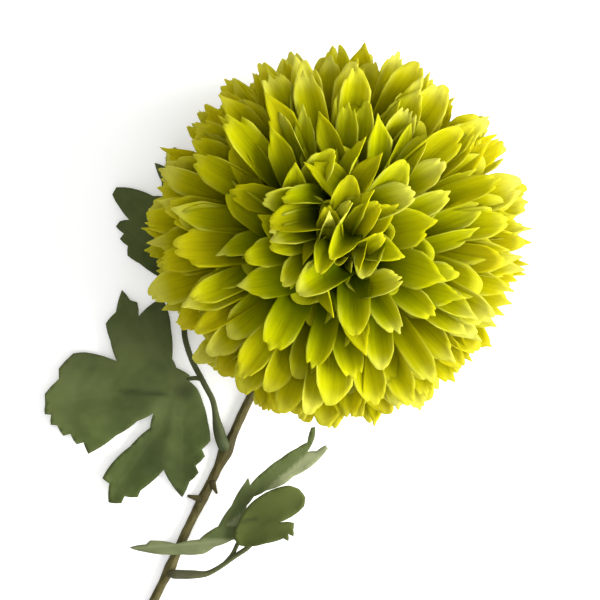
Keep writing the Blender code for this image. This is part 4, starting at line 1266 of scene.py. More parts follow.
@dataclass
class Rod:
    """A tube along a path, with a radius rule and slight ribs round it.

    Attributes:
        name: Name of the piece.
        node: CAD node that it stands for.
        slot: Material slot.
        path: Points of its middle line.
        radius: Radius from the share of the length and the distance along.
        sides: Points in each ring.
        ribs: Height of the ribs, as a share of the radius.
        rib_count: Number of ribs round it.
        rib_turn: Turn of the ribs over the whole length, in radians.
        least_swell: Least difference of radius that counts as fully swollen.
        floor: Whether it stays above the surface.
        floor_gap: Height that it keeps there.
        grain: Reach and rate of the value that lays the ridges of its finish round it.
    """

    name: str
    node: str
    slot: str
    path: Sequence[Vector]
    radius: Callable[[float, float], float]
    sides: int = 24
    ribs: float = 0.03
    rib_count: int = 5
    rib_turn: float = 9.0
    least_swell: float = 0.5
    floor: bool = False
    floor_gap: float = 0.12
    grain: tuple[float, float] = (2.0, 1.7)

    def build(self, material: bpy.types.Material) -> bpy.types.Object:
        """Make the rod.

        Args:
            material: Its finish.

        Returns:
            The new object.
        """
        shares, length = path_shares(self.path)
        rings = []
        around = []
        along = []
        radii = [self.radius(share, share * length) for share in shares]
        thin, thick = min(radii), max(radii)
        swells = [(radius - thin) / max(thick - thin, self.least_swell) for radius in radii]
        side = Vector((0, 0, 1))
        count = len(self.path)
        for index, point in enumerate(self.path):
            ahead = self.path[min(index + 1, count - 1)] - self.path[max(index - 1, 0)]
            ahead.normalize()
            across = side - ahead * side.dot(ahead)
            if across.length < 0.3:
                across = Vector((1, 0, 0)) - ahead * ahead.x
            across.normalize()
            side = across
            over = ahead.cross(across)
            radius = radii[index]
            ring = []
            for turn in range(self.sides):
                angle = math.tau * turn / self.sides
                bulge = 1 + self.ribs * math.sin(angle * self.rib_count + shares[index] * self.rib_turn)
                spot = point + (across * math.cos(angle) + over * math.sin(angle)) * radius * bulge
                if self.floor:
                    spot.z = max(spot.z, self.floor_gap)
                ring.append(spot)
                around.append(math.sin(angle) * self.grain[0] + math.cos(angle * self.grain[1]))
                along.append(shares[index] * length)
            rings += ring
        ends = [self.path[0], self.path[-1]]
        points = np.array([tuple(point) for point in rings + ends])
        by_ring = [swell for swell in swells for _ in range(self.sides)]
        marks = {
            "around": np.array(around + [0.0, 0.0]),
            "along": np.array(along + [0.0, length]),
            "swell": np.array(by_ring + [swells[0], swells[-1]]),
        }
        piece = Piece(self.name, self.node, self.slot)
        piece.add(points, tube_faces(count, self.sides), marks)
        return piece.build(material)


@dataclass
class Stem:
    """The stem with its bent neck, swollen joints, dry stubs and cut end.

    Attributes:
        radius: Radius past the neck.
        top_radius: Radius at the bloom.
        neck_end: The neck ends where the share of the length times this reaches 1.
        waver: Depth and rate of each slow change of radius along the stem.
        rest_z: Height of its middle line where it lies.
        step: Distance between its rings.
        joints: Share of the stem's length, half length and extra radius of each swelling.
        neck: Its middle line in the bent neck.
        run: Its middle line in plan, from the neck to the cut end.
        stubs: Foot, tip and radius of each dry stub.
        stub_bend: Rise of a stub's middle.
        stub_step: Distance between its rings.
        stub_taper: Share of the radius at its foot, what its tip loses of that, and how early.
    """

    radius: float = 1.7
    top_radius: float = 1.8
    neck_end: float = 3.0
    waver: Sequence[tuple[float, float]] = ((0.05, 0.5), (0.04, 1.3))
    rest_z: float = 2.1
    step: float = 1.6
    finish: BarkFinish = BarkFinish("stem_bark", (0.032, 0.026, 0.006), (0.104, 0.090, 0.027))
    joints: Sequence[tuple[float, float, float]] = (
        (0.39, 4.5, 1.0), (0.595, 4.0, 0.4), (0.47, 4.0, 0.3),
    )
    neck: Sequence[tuple[float, float, float]] = (
        (0.0, 0.0, 7.8), (0.0, 0.0, 6.7), (-1.2, -2.2, 4.2), (-5.2, -9.4, 2.7),
    )
    run: Sequence[Plan] = (
        (-13.0, -24.0), (-20.8, -39.0), (-27.8, -52.6), (-34.4, -66.1), (-41.8, -82.5), (-46.8, -92.9),
        (-55.3, -109.8), (-62.8, -126.3), (-67.7, -136.2), (-79.5, -160.5), (-92.5, -186.0), (-105.5, -211.0),
    )
    stubs: Sequence[tuple[tuple[float, float, float], tuple[float, float, float], float]] = (
        ((-46.2, -92.2, 3.0), (-44.2, -96.6, 3.6), 1.4),
        ((-49.9, -98.8, 3.0), (-55.4, -97.4, 3.6), 1.6),
    )
    stub_bend: float = 0.4
    stub_step: float = 0.5
    stub_sides: int = 14
    stub_taper: tuple[float, float, float] = (1.15, 0.85, 0.8)

    def thickness(self, share: float, along: float) -> float:
        """Radius of the stem at a share of its length."""
        radius = mix(self.top_radius, self.radius, min(1.0, share * self.neck_end))
        length = along / share if share > 0 else 1.0
        for place, half, extra in self.joints:
            radius += extra * math.exp(-(((share - place) * length / half) ** 2))
        for depth, rate in self.waver:
            radius += depth * math.sin(along * rate)
        return radius

    def build(self) -> None:
        """Make the stem and its stubs."""
        material = self.finish.build()
        route = [*self.neck, *((x, y, self.rest_z) for x, y in self.run)]
        path = smooth_path(route, self.step)
        Rod("stem_rod", "stem", "stem", path, self.thickness, floor=True).build(material)
        for number, (foot, tip, radius) in enumerate(self.stubs, 1):
            middle = tuple((a + b) / 2 for a, b in zip(foot, tip))
            bend = (middle[0], middle[1], middle[2] + self.stub_bend)
            path = smooth_path((foot, bend, tip), self.stub_step)

            def taper(share: float, along: float, thick: float = radius) -> float:
                """Radius of a stub, which narrows to its tip."""
                whole, lost, power = self.stub_taper
                return thick * (whole - lost * share ** power)

            Rod(f"stem_stub_{number}", "stem", "stem", path, taper, sides=self.stub_sides).build(material)


@dataclass
class LeafStalk:
    """A leaf stalk with its clasping foot and one fork.

    Attributes:
        name: Name of the stalk, and of its CAD node.
        finish: Its finish.
        route: Its middle line.
        fork: Middle line of its fork.
        foot_radius: Radius of its foot.
        radius: Radius past the foot.
        sheath: Length of the foot.
        sheath_fade: How softly the foot ends.
        collar: Extra radius of the collar near its start.
        collar_place: Distance of the collar from the start, and its half length.
        fork_radius: Radius of the fork.
        fork_taper: Share of that radius at the fork's start, and what its end loses.
        foot_start: Share of the radius at the very start.
        foot_rise: Distance along over which that share grows by one.
        step: Distance between its rings.
    """

    name: str
    finish: BarkFinish
    route: Sequence[tuple[float, float, float]]
    fork: Sequence[tuple[float, float, float]]
    foot_radius: float
    radius: float
    sheath: float = 12.0
    sheath_fade: float = 1.8
    collar: float = 0.12
    collar_place: tuple[float, float] = (1.0, 0.8)
    sides: int = 18
    fork_radius: float = 0.85
    fork_taper: tuple[float, float] = (1.08, 0.12)
    fork_sides: int = 16
    foot_start: float = 0.6
    foot_rise: float = 5.0
    step: float = 0.8

    def thickness(self, share: float, along: float) -> float:
        """Radius of the stalk, thick along its foot."""
        sheath = 1 / (1 + math.exp((along - self.sheath) / self.sheath_fade))
        place, half = self.collar_place
        collar = self.collar * math.exp(-((along - place) / half) ** 2)
        start = min(1.0, self.foot_start + along / self.foot_rise)
        return (mix(self.radius, self.foot_radius, sheath) + collar) * start

    def build(self) -> None:
        """Make the stalk and its fork."""
        material = self.finish.build()
        Rod(self.name, self.name, "leaf_stalk", smooth_path(self.route, self.step), self.thickness,
            sides=self.sides).build(material)

        def even(share: float, along: float) -> float:
            """Radius of the fork."""
            start, lost = self.fork_taper
            return self.fork_radius * (start - lost * share)

        Rod(f"{self.name}_fork", self.name, "leaf_stalk", smooth_path(self.fork, self.step), even,
            sides=self.fork_sides).build(material)


@dataclass
class Calyx:
    """Green cup under the bloom, with one row of blunt bracts.

    Attributes:
        rule: The bloom's rule, which gives the core that the cup follows.
        finish: Its finish.
        gap: Distance from the core.
        thick: Thickness, times the shares that thick_ends gives for rim and neck.
        neck_z: Height of its lower end.
        neck_radius: Radius there.
        rim_polar: Polar angle of the bracts' bays.
        foot_polar: Polar angle where the cup meets its neck.
        sides: Points round it.
        rows: Points from rim to neck.
        teeth: Number of bracts.
        tooth: How far a bract reaches past a bay, in degrees.
        tooth_power: How broad a bract is against the bay beside it.
        crease: Depth of the crease along each bract.
        grain: Rate of the ridges of its finish round it.
    """

    rule: PetalRule = field(default_factory=PetalRule)
    finish: BarkFinish = BarkFinish("calyx_skin", (0.05, 0.07, 0.012), (0.12, 0.15, 0.035), roughness=0.75)
    gap: float = 0.3
    thick: float = 1.6
    neck_z: float = 8.2
    neck_radius: float = 3.4
    rim_polar: float = 142.0
    foot_polar: float = 168.0
    sides: int = 96
    rows: int = 9
    teeth: int = 12
    tooth: float = 9.0
    tooth_power: float = 1.4
    thick_ends: tuple[float, float] = (0.45, 1.6)
    crease: float = 0.35
    grain: float = 3.0

    def build(self) -> None:
        """Make the cup."""
        material = self.finish.build()
        rows = self.rows
        points = []
        for turn in range(self.sides):
            angle = math.tau * turn / self.sides
            wave = 0.5 + 0.5 * math.cos(angle * self.teeth)
            rim = self.rim_polar - self.tooth * (1 - wave ** self.tooth_power)
            inner = []
            outer = []
            for row in range(rows):
                share = row / (rows - 1)
                polar = math.radians(mix(rim, self.foot_polar, share))
                crease = self.crease * (1 - wave) * (1 - share)
                thick = self.thick * mix(*self.thick_ends, share) - crease
                for side, offset in ((inner, self.gap), (outer, self.gap + thick)):
                    side.append(((self.rule.core_radius + offset) * math.sin(polar),
                                 self.rule.core_z + (self.rule.core_half_height + offset) * math.cos(polar)))
            outer.append((self.neck_radius, self.neck_z))
            for radius, height in [*reversed(inner), *outer]:
                points.append((radius * math.cos(angle), radius * math.sin(angle), height))
        ring = 2 * rows + 1
        grid = np.arange(self.sides * ring).reshape(self.sides, ring)
        after = np.roll(grid, -1, axis=0)
        walls = np.stack([grid[:, :-1], after[:, :-1], after[:, 1:], grid[:, 1:]], axis=-1).reshape(-1, 4)
        top = self.sides * ring
        caps = [(top, top, b, a) for a, b in zip(grid[:, 0], after[:, 0])]
        caps += [(top + 1, top + 1, a, b) for a, b in zip(grid[:, -1], after[:, -1])]
        points.append((0.0, 0.0, self.rule.core_z - self.rule.core_half_height - self.gap))
        points.append((0.0, 0.0, self.neck_z))
        places = np.array(points)
        marks = {
            "around": np.arctan2(places[:, 1], places[:, 0]) * self.grain,
            "along": places[:, 2],
        }
        piece = Piece("calyx_cup", "calyx", "calyx")
        piece.add(places, np.concatenate([walls, np.array(caps)]), marks)
        piece.build(material)


@dataclass
class Leaf:
    """A lobed leaf: its outline in plan, its ribs and a height rule.

    Attributes:
        name: Name of the leaf, and of its CAD node.
        outline: Corners in plan, each with the number of teeth on the edge after it.
        ribs: Lines of its ribs in plan.
        height: Height of the leaf at a plan point.
        puff: Rise of the blade between its ribs.
        pale: Share of pale underside that a plan point shows on top.
        thick: Thickness.
        cell: Distance between its points.
        cell_row: Distance between rows of points, as a share of that.
        cell_free: Distance that a point keeps from edge and ribs, as a share of it.
        weld: Distance under which two points are one.
        bulge: Rise of an edge without teeth, as a share of its length.
        tooth_depth: Depth of the teeth.
        tooth_lean: Place of a tooth's peak along it.
        tooth_round: Rise of a tooth's back.
        rib_reach: Distance over which the blade rises from a rib.
        weave: Height of the fine waves, and their rates along and away from the ribs.
        weave_fade: Distances from rib and edge over which they begin.
        curl: Height of the edge's waves, their reach inward, and their rates in x and y.
        floor_gap: Least height over the surface.
        shades: Ends, half width and depth of each painted shade along a crease and at a shaded spot.
        fresh: Share of the fresh leaf's brighter green.
    """

    name: str
    outline: Sequence[OutlinePoint]
    ribs: Sequence[Sequence[Plan]]
    height: Callable[[Vector], float]
    puff: float
    pale: Callable[[Vector], float]
    thick: float = 0.42
    cell: float = 1.7
    cell_row: float = 0.87
    cell_free: float = 0.55
    weld: float = 1e-4
    bulge: float = 0.035
    tooth_depth: float = 2.0
    tooth_lean: float = 0.7
    tooth_round: float = 0.25
    rib_reach: float = 5.0
    weave: tuple[float, float, float] = (0.08, 0.9, 0.75)
    weave_fade: tuple[float, float] = (3.0, 2.0)
    curl: tuple[float, float, float, float] = (0.35, 1.5, 0.45, 0.37)
    floor_gap: float = 0.1
    shades: Sequence[tuple[Plan, Plan, float, float]] = ()
    fresh: float = 0.0

    def edge(self) -> list[Vector]:
        """Points of the leaf's edge, with its saw teeth and slightly curved stretches."""
        points: list[Vector] = []
        afters = [*self.outline[1:], self.outline[0]]
        area = sum(a[0] * b[1] - b[0] * a[1] for a, b in zip(self.outline, afters))
        for (x, y, teeth), after in zip(self.outline, afters):
            here = Vector((x, y))
            along = Vector(after[:2]) - here
            out = Vector((along.y, -along.x)).normalized() * math.copysign(1.0, area)
            if not teeth:
                steps = max(1, round(along.length / self.cell))
                bulge = self.bulge * along.length
                points += [here + along * k / steps + out * bulge * math.sin(math.pi * k / steps)
                           for k in range(steps)]
                continue
            for tooth in range(teeth):
                start = here + along * tooth / teeth
                peak = here + along * (tooth + self.tooth_lean) / teeth + out * self.tooth_depth
                finish = here + along * (tooth + 1) / teeth
                back = start.lerp(peak, 0.5) + out * self.tooth_round
                points += [start, back, peak, peak.lerp(finish, 0.5)]
        return points

    def near_rib(self, point: Vector) -> tuple[float, float]:
        """Distance in plan to the nearest rib, and the place along that rib."""
        best = (math.inf, 0.0)
        for rib in self.ribs:
            passed = 0.0
            for start, end in zip(rib, rib[1:]):
                a = Vector(start)
                along = Vector(end) - a
                share = min(1.0, max(0.0, (point - a).dot(along) / along.length_squared))
                away = (point - a - along * share).length
                if away < best[0]:
                    best = (away, passed + share * along.length)
                passed += along.length
        return best

    def shaded(self, point: Vector) -> float:
        """How much painted shade the leaf has at a plan point: the deepest of its creases and shaded spots.
        """
        deepest = 0.0
        for first, last, width, depth in self.shades:
            start = Vector(first)
            along = Vector(last) - start
            share = min(1.0, max(0.0, (point - start).dot(along) / along.length_squared))
            away = (point - start - along * share).length
            deepest = max(deepest, depth * math.exp(-((away / width) ** 2)))
        return deepest

    @staticmethod
    def inside(point: Vector, edge: Sequence[Vector]) -> bool:
        """Whether a plan point lies inside a closed outline."""
        odd = False
        for a, b in zip(edge, [*edge[1:], edge[0]]):
            if (a.y > point.y) != (b.y > point.y):
                if point.x < (b.x - a.x) * (point.y - a.y) / (b.y - a.y) + a.x:
                    odd = not odd
        return odd

    def plan(self) -> tuple[list[Vector], list[list[int]], list[Vector]]:
        """Triangles of the leaf in plan: points, corners and the edge's points."""
        edge = self.edge()
        points = list(edge)
        links = [(index, (index + 1) % len(edge)) for index in range(len(edge))]
        for rib in self.ribs:
            for start, end in zip(rib, rib[1:]):
                pieces = max(1, round((Vector(end) - Vector(start)).length / self.cell))
                for step in range(pieces):
                    points.append(Vector(start).lerp(Vector(end), step / pieces))
                points.append(Vector(end))
                links += [(len(points) - 2 - step, len(points) - 1 - step) for step in range(pieces)]
        fixed = list(points)
        left, right = min(p.x for p in edge), max(p.x for p in edge)
        low, high = min(p.y for p in edge), max(p.y for p in edge)
        free = (self.cell * self.cell_free) ** 2
        for row in range(int((high - low) / (self.cell * self.cell_row)) + 1):
            y = low + row * self.cell * self.cell_row
            for column in range(int((right - left) / self.cell) + 1):
                spot = Vector((left + (column + 0.5 * (row % 2)) * self.cell, y))
                if self.inside(spot, edge):
                    if min((spot - other).length_squared for other in fixed) > free:
                        points.append(spot)
        whole = [list(range(len(edge)))]
        spots, _, faces, _, _, _ = delaunay_2d_cdt(points, links, whole, 1, self.weld)
        return spots, faces, edge

    def rise(self, spot: Vector, away: float, run: float, rim: float) -> float:
        """Rise of the blade over the leaf's height rule.

        Args:
            spot: Plan point.
            away: Distance to the nearest rib.
            run: Place along that rib.
            rim: Distance to the edge.

        Returns:
            The puff between the ribs, the fine waves and the edge's waves.
        """
        depth, along, across = self.weave
        inner, outer = self.weave_fade
        curl, reach, by_x, by_y = self.curl
        rise = self.puff * (1 - math.exp(-(away / self.rib_reach) ** 2))
        fade = min(1.0, away / inner)
        rise += depth * math.sin(run * along + away * across) * fade * min(1.0, rim / outer)
        return rise + curl * math.exp(-rim / reach) * math.sin(spot.x * by_x + spot.y * by_y)

    def build(self, material: bpy.types.Material) -> None:
        """Make the leaf as one thin closed sheet.

        Args:
            material: The leaves' finish.
        """
        spots, triangles, edge = self.plan()
        count = len(spots)
        rows = []
        marks: dict[str, list[float]] = {"rib": [], "rim": [], "under": [], "shade": [], "fresh": []}
        for side in (0.5, -0.5):
            for spot in spots:
                away, run = self.near_rib(spot)
                rim = min((spot - other).length for other in edge)
                z = self.height(spot) + self.rise(spot, away, run, rim) + side * self.thick
                rows.append((spot.x, spot.y, max(z, self.floor_gap + (side + 0.5) * self.thick)))
                marks["rib"].append(away)
                marks["shade"].append(self.shaded(spot))
                marks["fresh"].append(self.fresh)
                marks["rim"].append(rim)
                pale = self.pale(spot)
                marks["under"].append(pale if side > 0 else 1.0 - pale)
        used = {pair for face in triangles for pair in zip(face, [*face[1:], face[0]])}
        skin = [(a, b, c, c) for a, b, c in triangles]
        skin += [(c + count, b + count, a + count, a + count) for a, b, c in triangles]
        skin += [(b, a, a + count, b + count) for a, b in sorted(used) if (b, a) not in used]
        piece = Piece(f"{self.name}_blade", self.name, "leaf")
        arrays = {name: np.array(values) for name, values in marks.items()}
        piece.add(np.array(rows), np.array(skin), arrays)
        piece.build(material)


def no_fold(point: Vector) -> float:
    """A leaf with its dark face up everywhere."""
    return 0.0


@dataclass(frozen=True)
class LeafLie:
    """How a flat leaf lies: level round its foot, then on a slope, with slow waves.

    Attributes:
        foot: Plan point from which distances are measured.
        foot_z: Height at the foot.
        slope: Rise for each millimetre of distance from start to end.
        start: Distance at which the slope begins.
        end: Distance at which it ends.
        wave: Height of the waves.
        rates: Their rates in x and y.
        wave_from: Distance over which they grow to that height, or 0 where they are whole everywhere.
    """

    foot: Plan
    foot_z: float
    slope: float
    start: float = 0.0
    end: float = math.inf
    wave: float = 0.0
    rates: Plan = (0.0, 0.0)
    wave_from: float = 0.0

    def height(self, point: Vector) -> float:
        """Height of the leaf at a plan point."""
        reach = (point - Vector(self.foot)).length
        rise = self.slope * (min(max(reach, self.start), self.end) - self.start)
        swing = self.wave * math.sin(point.x * self.rates[0] + point.y * self.rates[1])
        if reach < self.wave_from:
            swing *= reach / self.wave_from
        return self.foot_z + rise + swing


@dataclass(frozen=True)
class LeafFold:
    """How the folded leaf lies: its long lobe crosses the stem, and its right flap, turned over, shows its
    pale underside by colour alone.

    Attributes:
        low_z: Height of the long lobe.
        slope: Rise for each millimetre of y past rise_y.
        rise_y: Where the leaf begins to rise.
        lobe_corner: The long lobe lies left of this point and below it.
        lobe_pale: Share of pale underside on the lobe.
        lobe_line: Place in y of the line under which the lobe is pale.
        lobe_end: Place in x past which all of it turns pale.
        lobe_soft: Distance in x over which it does.
        fold: Two points of the line past which the right flap shows its pale underside.
        soft: Width over which dark and pale meet.
    """

    low_z: float = 8.4
    slope: float = 0.06
    rise_y: float = -114.0
    lobe_corner: Plan = (-36.0, -108.0)
    lobe_pale: float = 0.72
    lobe_line: float = -113.3
    lobe_end: float = -50.0
    lobe_soft: float = 2.0
    fold: tuple[Plan, Plan] = ((-28.0, -97.0), (-9.6, -80.6))
    soft: float = 0.8

    def height(self, point: Vector) -> float:
        """Height of the leaf at a plan point."""
        return self.low_z + self.slope * max(0.0, point.y - self.rise_y)

    def pale(self, point: Vector) -> float:
        """Share of the pale underside that the leaf shows at a plan point."""
        if point.x < self.lobe_corner[0] and point.y < self.lobe_corner[1]:
            under_line = (self.lobe_line - point.y) / self.soft + 0.5
            past_end = (self.lobe_end - point.x) / self.lobe_soft
            return self.lobe_pale * min(1.0, max(0.0, under_line, past_end))
        first = Vector(self.fold[0])
        along = Vector(self.fold[1]) - first
        side = along.x * (point.y - first.y) - along.y * (point.x - first.x)
        return min(1.0, max(0.0, -side / along.length / self.soft + 0.5))


@dataclass
class Foliage:
    """The two leaf stalks and the four leaves."""

    leaf_finish: LeafFinish = LeafFinish()
    side_lie: LeafLie = LeafLie((-54.4, -53.0), 5.5, -3.4 / 48.0, end=48.0,
                                wave=0.9, rates=(0.16, 0.11), wave_from=30.0)
    behind_lie: LeafLie = LeafLie((0.0, 0.0), 2.2, 0.09, start=60.0, wave=0.35, rates=(0.0, 0.2))
    front_lie: LeafLie = LeafLie((-34.4, -115.2), 11.2, 0.16, wave=0.6, rates=(0.22, 0.0))
    fold: LeafFold = LeafFold()
    upper_finish: BarkFinish = BarkFinish(
        "upper_stalk", (0.034, 0.044, 0.012), (0.100, 0.112, 0.044), (0.026, 0.040, 0.012),
    )
    lower_finish: BarkFinish = BarkFinish(
        "lower_stalk", (0.042, 0.050, 0.016), (0.110, 0.120, 0.045), (0.050, 0.042, 0.026),
    )

    def stalks(self) -> list[LeafStalk]:
        """The two stalks."""
        return [
            LeafStalk(
                "leaf_stalk_upper", self.upper_finish,
                route=((-40.8, -80.2, 2.7), (-42.4, -76.6, 5.2), (-44.0, -70.4, 5.8), (-45.6, -61.8, 5.0),
                       (-48.2, -56.5, 4.6), (-50.6, -52.0, 4.4), (-53.4, -46.7, 4.0), (-55.7, -40.3, 3.4),
                       (-56.6, -34.7, 2.9), (-55.9, -27.7, 2.3)),
                fork=((-49.6, -53.6, 4.5), (-51.6, -52.9, 4.7), (-53.6, -53.0, 4.9), (-55.4, -53.1, 5.0)),
                foot_radius=2.3, radius=1.1,
            ),
            LeafStalk(
                "leaf_stalk_lower", self.lower_finish,
                route=((-62.0, -127.1, 3.6), (-60.0, -127.0, 4.5), (-53.8, -127.1, 4.7), (-48.5, -126.9, 4.7),
                       (-44.7, -125.2, 5.3), (-41.4, -123.0, 6.2), (-37.4, -120.0, 7.6),
                       (-33.0, -117.0, 9.4), (-31.4, -115.4, 10.6)),
                fork=((-41.6, -123.2, 6.0), (-38.6, -119.8, 6.6), (-36.3, -115.2, 8.2)),
                foot_radius=1.75, radius=0.95,
            ),
        ]

    def leaves(self) -> list[Leaf]:
        """The four leaves."""
        return [
            Leaf(
                "leaf_side",
                outline=(
                    (-54.4, -51.8, 0), (-59.4, -49.0, 0), (-61.0, -45.6, 0), (-61.6, -34.0, 0),
                    (-62.6, -28.0, 0), (-64.9, -22.8, 0), (-68.4, -24.5, 0), (-73.8, -29.5, 1),
                    (-77.1, -23.4, 0), (-80.2, -19.6, 0), (-82.4, -28.0, 0), (-86.2, -32.3, 0),
                    (-84.5, -38.6, 0), (-82.0, -46.4, 0), (-93.7, -43.2, 0), (-98.6, -43.6, 2),
                    (-109.2, -62.8, 2), (-104.6, -70.8, 2), (-94.6, -77.2, 0), (-92.8, -81.6, 0),
                    (-82.2, -74.6, 0), (-74.1, -69.1, 0), (-68.2, -66.2, 0), (-69.5, -71.7, 0),
                    (-77.0, -78.7, 0), (-84.0, -85.2, 0), (-87.5, -90.8, 0), (-84.9, -92.8, 0),
                    (-85.3, -100.0, 2), (-73.0, -95.4, 0), (-64.3, -87.6, 0), (-61.4, -93.1, 0),
                    (-57.4, -98.1, 0), (-54.6, -92.2, 2), (-49.8, -79.8, 0), (-46.6, -76.6, 0),
                    (-47.6, -69.4, 0), (-49.5, -61.9, 0), (-51.6, -56.8, 0), (-54.4, -54.2, 0),
                ),
                ribs=(
                    ((-54.4, -53.0), (-68.0, -57.0), (-107.0, -62.0)),
                    ((-58.0, -54.0), (-69.0, -42.0), (-79.6, -22.5)),
                    ((-58.0, -54.0), (-66.0, -44.0), (-66.0, -25.5)),
                    ((-60.0, -55.0), (-66.0, -72.0), (-84.0, -97.0)),
                    ((-58.0, -54.5), (-57.5, -72.0), (-57.4, -95.5)),
                ),
                height=self.side_lie.height, puff=1.4, pale=no_fold, cell=1.4,
                # Painted shade along creases and at shaded spots of the blade.
                shades=(
                    ((-80.0, -57.9), (-64.0, -59.0), 1.0, 0.85), ((-57.6, -58.2), (-55.6, -57.6), 3.4, 0.75),
                    ((-58.5, -62.0), (-58.6, -67.0), 0.9, 0.5), ((-64.0, -84.0), (-55.0, -90.0), 9.0, 0.4),
                    ((-63.0, -36.0), (-63.5, -26.0), 6.0, 0.3), ((-80.0, -92.0), (-72.0, -82.0), 6.0, 0.3),
                ),
            ),
            Leaf(
                "leaf_behind",
                outline=(
                    (-56.0, -27.2, 0), (-58.8, -19.2, 0), (-63.5, -16.0, 0), (-73.5, -9.6, 0),
                    (-78.0, -6.6, 0), (-77.9, -3.0, 2), (-80.9, 6.4, 0), (-77.4, 7.0, 0),
                    (-80.8, 11.3, 1), (-82.2, 19.2, 0), (-76.0, 18.8, 0), (-68.2, 15.9, 0),
                    (-64.6, 15.8, 0), (-65.1, 21.1, 0), (-67.8, 28.5, 0), (-63.6, 26.9, 1),
                    (-60.2, 34.4, 0), (-56.2, 31.6, 0), (-54.6, 20.0, 0), (-53.2, 8.0, 0),
                    (-53.2, -6.0, 0), (-54.0, -18.0, 0), (-55.0, -27.2, 0),
                ),
                ribs=(
                    ((-55.6, -27.0), (-58.0, -10.0), (-61.0, 31.0)),
                    ((-57.0, -15.0), (-64.0, 2.0), (-80.6, 18.0)),
                    ((-57.0, -16.0), (-66.0, -7.0), (-79.6, 5.0)),
                ),
                height=self.behind_lie.height, puff=0.9, pale=no_fold,
            ),
            Leaf(
                "leaf_front",
                outline=(
                    (-37.6, -112.0, 0), (-35.2, -105.2, 0), (-32.0, -100.4, 0), (-28.6, -97.4, 0),
                    (-22.9, -94.2, 0), (-17.2, -92.7, 0), (-13.1, -94.1, 0), (-10.8, -97.2, 0),
                    (-11.2, -100.6, 0), (-15.8, -104.6, 0), (-22.6, -107.4, 0), (-18.2, -106.4, 0),
                    (-15.0, -106.9, 0), (-15.2, -109.4, 2), (-19.0, -112.8, 0), (-25.9, -114.8, 0),
                    (-32.8, -116.2, 0), (-36.4, -115.4, 0),
                ),
                ribs=(
                    ((-34.4, -115.2), (-27.0, -106.0), (-13.0, -96.5)),
                    ((-32.0, -112.6), (-25.0, -109.8), (-16.2, -107.9)),
                ),
                height=self.front_lie.height, puff=1.0, pale=no_fold, fresh=1.0, cell=1.2,
                # Painted shade along one crease.
                shades=(((-34.6, -106.6), (-29.3, -105.4), 0.9, 0.8),),
            ),
            Leaf(
                "leaf_folded",
                outline=(
                    (-36.2, -115.2, 0), (-37.6, -113.4, 0), (-45.0, -116.4, 0), (-48.9, -118.9, 0),
                    (-56.7, -119.3, 0), (-74.0, -117.8, 0), (-77.1, -116.6, 0), (-70.8, -115.4, 0),
                    (-69.2, -113.9, 0), (-59.3, -115.2, 0), (-50.8, -113.6, 0), (-46.5, -110.2, 0),
                    (-43.6, -108.6, 0), (-38.6, -100.8, 0), (-33.3, -91.8, 0), (-32.3, -90.2, 0),
                    (-31.6, -93.0, 0), (-25.9, -87.4, 0), (-19.9, -82.9, 0), (-13.9, -79.0, 0),
                    (-10.1, -76.9, 0), (-8.6, -71.3, 0), (-7.0, -71.0, 0), (-7.4, -75.5, 0),
                    (-9.9, -80.4, 0), (-6.6, -80.2, 0), (-3.2, -77.9, 0), (-2.2, -79.2, 0),
                    (-8.2, -85.7, 0), (-15.6, -90.0, 0), (-18.7, -92.6, 0), (-25.6, -95.2, 0),
                    (-30.2, -97.4, 0), (-32.8, -100.8, 0), (-34.2, -106.0, 0), (-34.8, -113.2, 0),
                ),
                ribs=(
                    ((-35.8, -114.4), (-35.6, -103.5), (-28.0, -93.2), (-12.4, -81.2), (-8.2, -73.6)),
                    ((-28.0, -93.2), (-19.0, -89.6), (-9.6, -83.2), (-3.8, -79.4)),
                    ((-36.6, -113.6), (-47.0, -114.6), (-75.0, -116.8)),
                ),
                height=self.fold.height, puff=0.8, pale=self.fold.pale, cell=1.1,
            ),
        ]

    def build(self) -> None:
        """Make the stalks and the leaves."""
        for stalk in self.stalks():
            stalk.build()
        material = self.leaf_finish.build()
        for leaf in self.leaves():
            leaf.build(material)


@dataclass(frozen=True)
class Lamp:
    """A soft square lamp.

    Attributes:
        name: Its name.
        place: Its position, in millimetres from the bloom's middle.
        side: Its side, in millimetres.
        power: Its power, in watts.
        colour: Its colour.
    """

    name: str
    place: tuple[float, float, float]
    side: float
    power: float
    colour: Colour


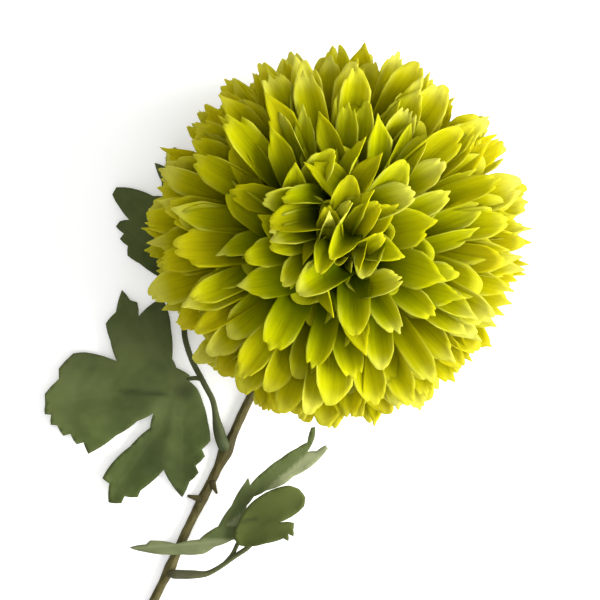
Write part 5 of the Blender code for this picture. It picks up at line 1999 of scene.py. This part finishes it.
@dataclass
class Studio:
    """Pale floor, soft light and the camera, which looks straight down."""

    floor_side: float = 4000.0
    floor_colour: Colour = (0.92, 0.92, 0.92)
    floor_roughness: float = 0.9
    floor_glow: float = 0.24
    lamps: Sequence[Lamp] = (
        Lamp("key", (1600.0, -250.0, 850.0), 1300.0, 91.0, (1.0, 0.99, 0.96)),
        Lamp("top", (100.0, -100.0, 1900.0), 1400.0, 12.0, (1.0, 1.0, 1.0)),
    )
    lamp_aim_z: float = 40.0
    camera_plan: Plan = (-12.8, -23.4)
    camera_height: float = 1245.0
    camera_reach: float = 20000.0
    lens: float = 197.0
    sensor: float = 36.0
    world_strength: float = 0.63

    def floor(self) -> None:
        """Pale floor at the surface that the flower lies on."""
        half = self.floor_side * MM / 2
        mesh = bpy.data.meshes.new("floor")
        corner_points = [(-half, -half, 0), (half, -half, 0), (half, half, 0), (-half, half, 0)]
        mesh.from_pydata(corner_points, [], [(0, 1, 2, 3)])
        made_of, _, shader = new_material("floor")
        shader.inputs["Base Color"].default_value = (*self.floor_colour, 1.0)
        shader.inputs["Roughness"].default_value = self.floor_roughness
        shader.inputs["Emission Color"].default_value = (1.0, 1.0, 1.0, 1.0)
        shader.inputs["Emission Strength"].default_value = self.floor_glow
        mesh.materials.append(made_of)
        made = bpy.data.objects.new("floor", mesh)
        bpy.context.scene.collection.objects.link(made)

    def light(self, lamp: Lamp) -> None:
        """Set up one lamp, which looks at the bloom."""
        data = bpy.data.lights.new(lamp.name, "AREA")
        data.size = lamp.side * MM
        data.energy = lamp.power
        data.color = lamp.colour
        made = bpy.data.objects.new(lamp.name, data)
        aim = Vector((*BLOOM_MIDDLE, self.lamp_aim_z)) * MM
        made.location = aim + Vector(lamp.place) * MM
        made.rotation_euler = (aim - made.location).to_track_quat("-Z", "Y").to_euler()
        bpy.context.scene.collection.objects.link(made)

    def camera(self) -> None:
        """Camera straight above, at the photograph's distance and field."""
        data = bpy.data.cameras.new("camera")
        data.sensor_width = self.sensor
        data.lens = self.lens
        data.clip_end = self.camera_reach * MM
        made = bpy.data.objects.new("camera", data)
        made.location = ((BLOOM_MIDDLE[0] + self.camera_plan[0]) * MM,
                         (BLOOM_MIDDLE[1] + self.camera_plan[1]) * MM, self.camera_height * MM)
        bpy.context.scene.collection.objects.link(made)
        bpy.context.scene.camera = made

    def build(self) -> None:
        """Make the floor, the light and the camera."""
        self.floor()
        for lamp in self.lamps:
            self.light(lamp)
        world = bpy.data.worlds.new("studio")
        world.use_nodes = True
        background = world.node_tree.nodes["Background"]
        background.inputs["Color"].default_value = (1.0, 1.0, 1.0, 1.0)
        background.inputs["Strength"].default_value = self.world_strength
        bpy.context.scene.world = world
        bpy.context.scene.view_settings.view_transform = "Standard"
        self.camera()


def main() -> None:
    """Dress the whole flower and set its studio."""
    logging.basicConfig(level=logging.INFO, format="%(name)s %(message)s")
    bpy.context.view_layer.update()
    Studio().build()
    Bloom().build()
    Calyx().build()
    Stem().build()
    Foliage().build()


if __name__ == "__main__":
    main()
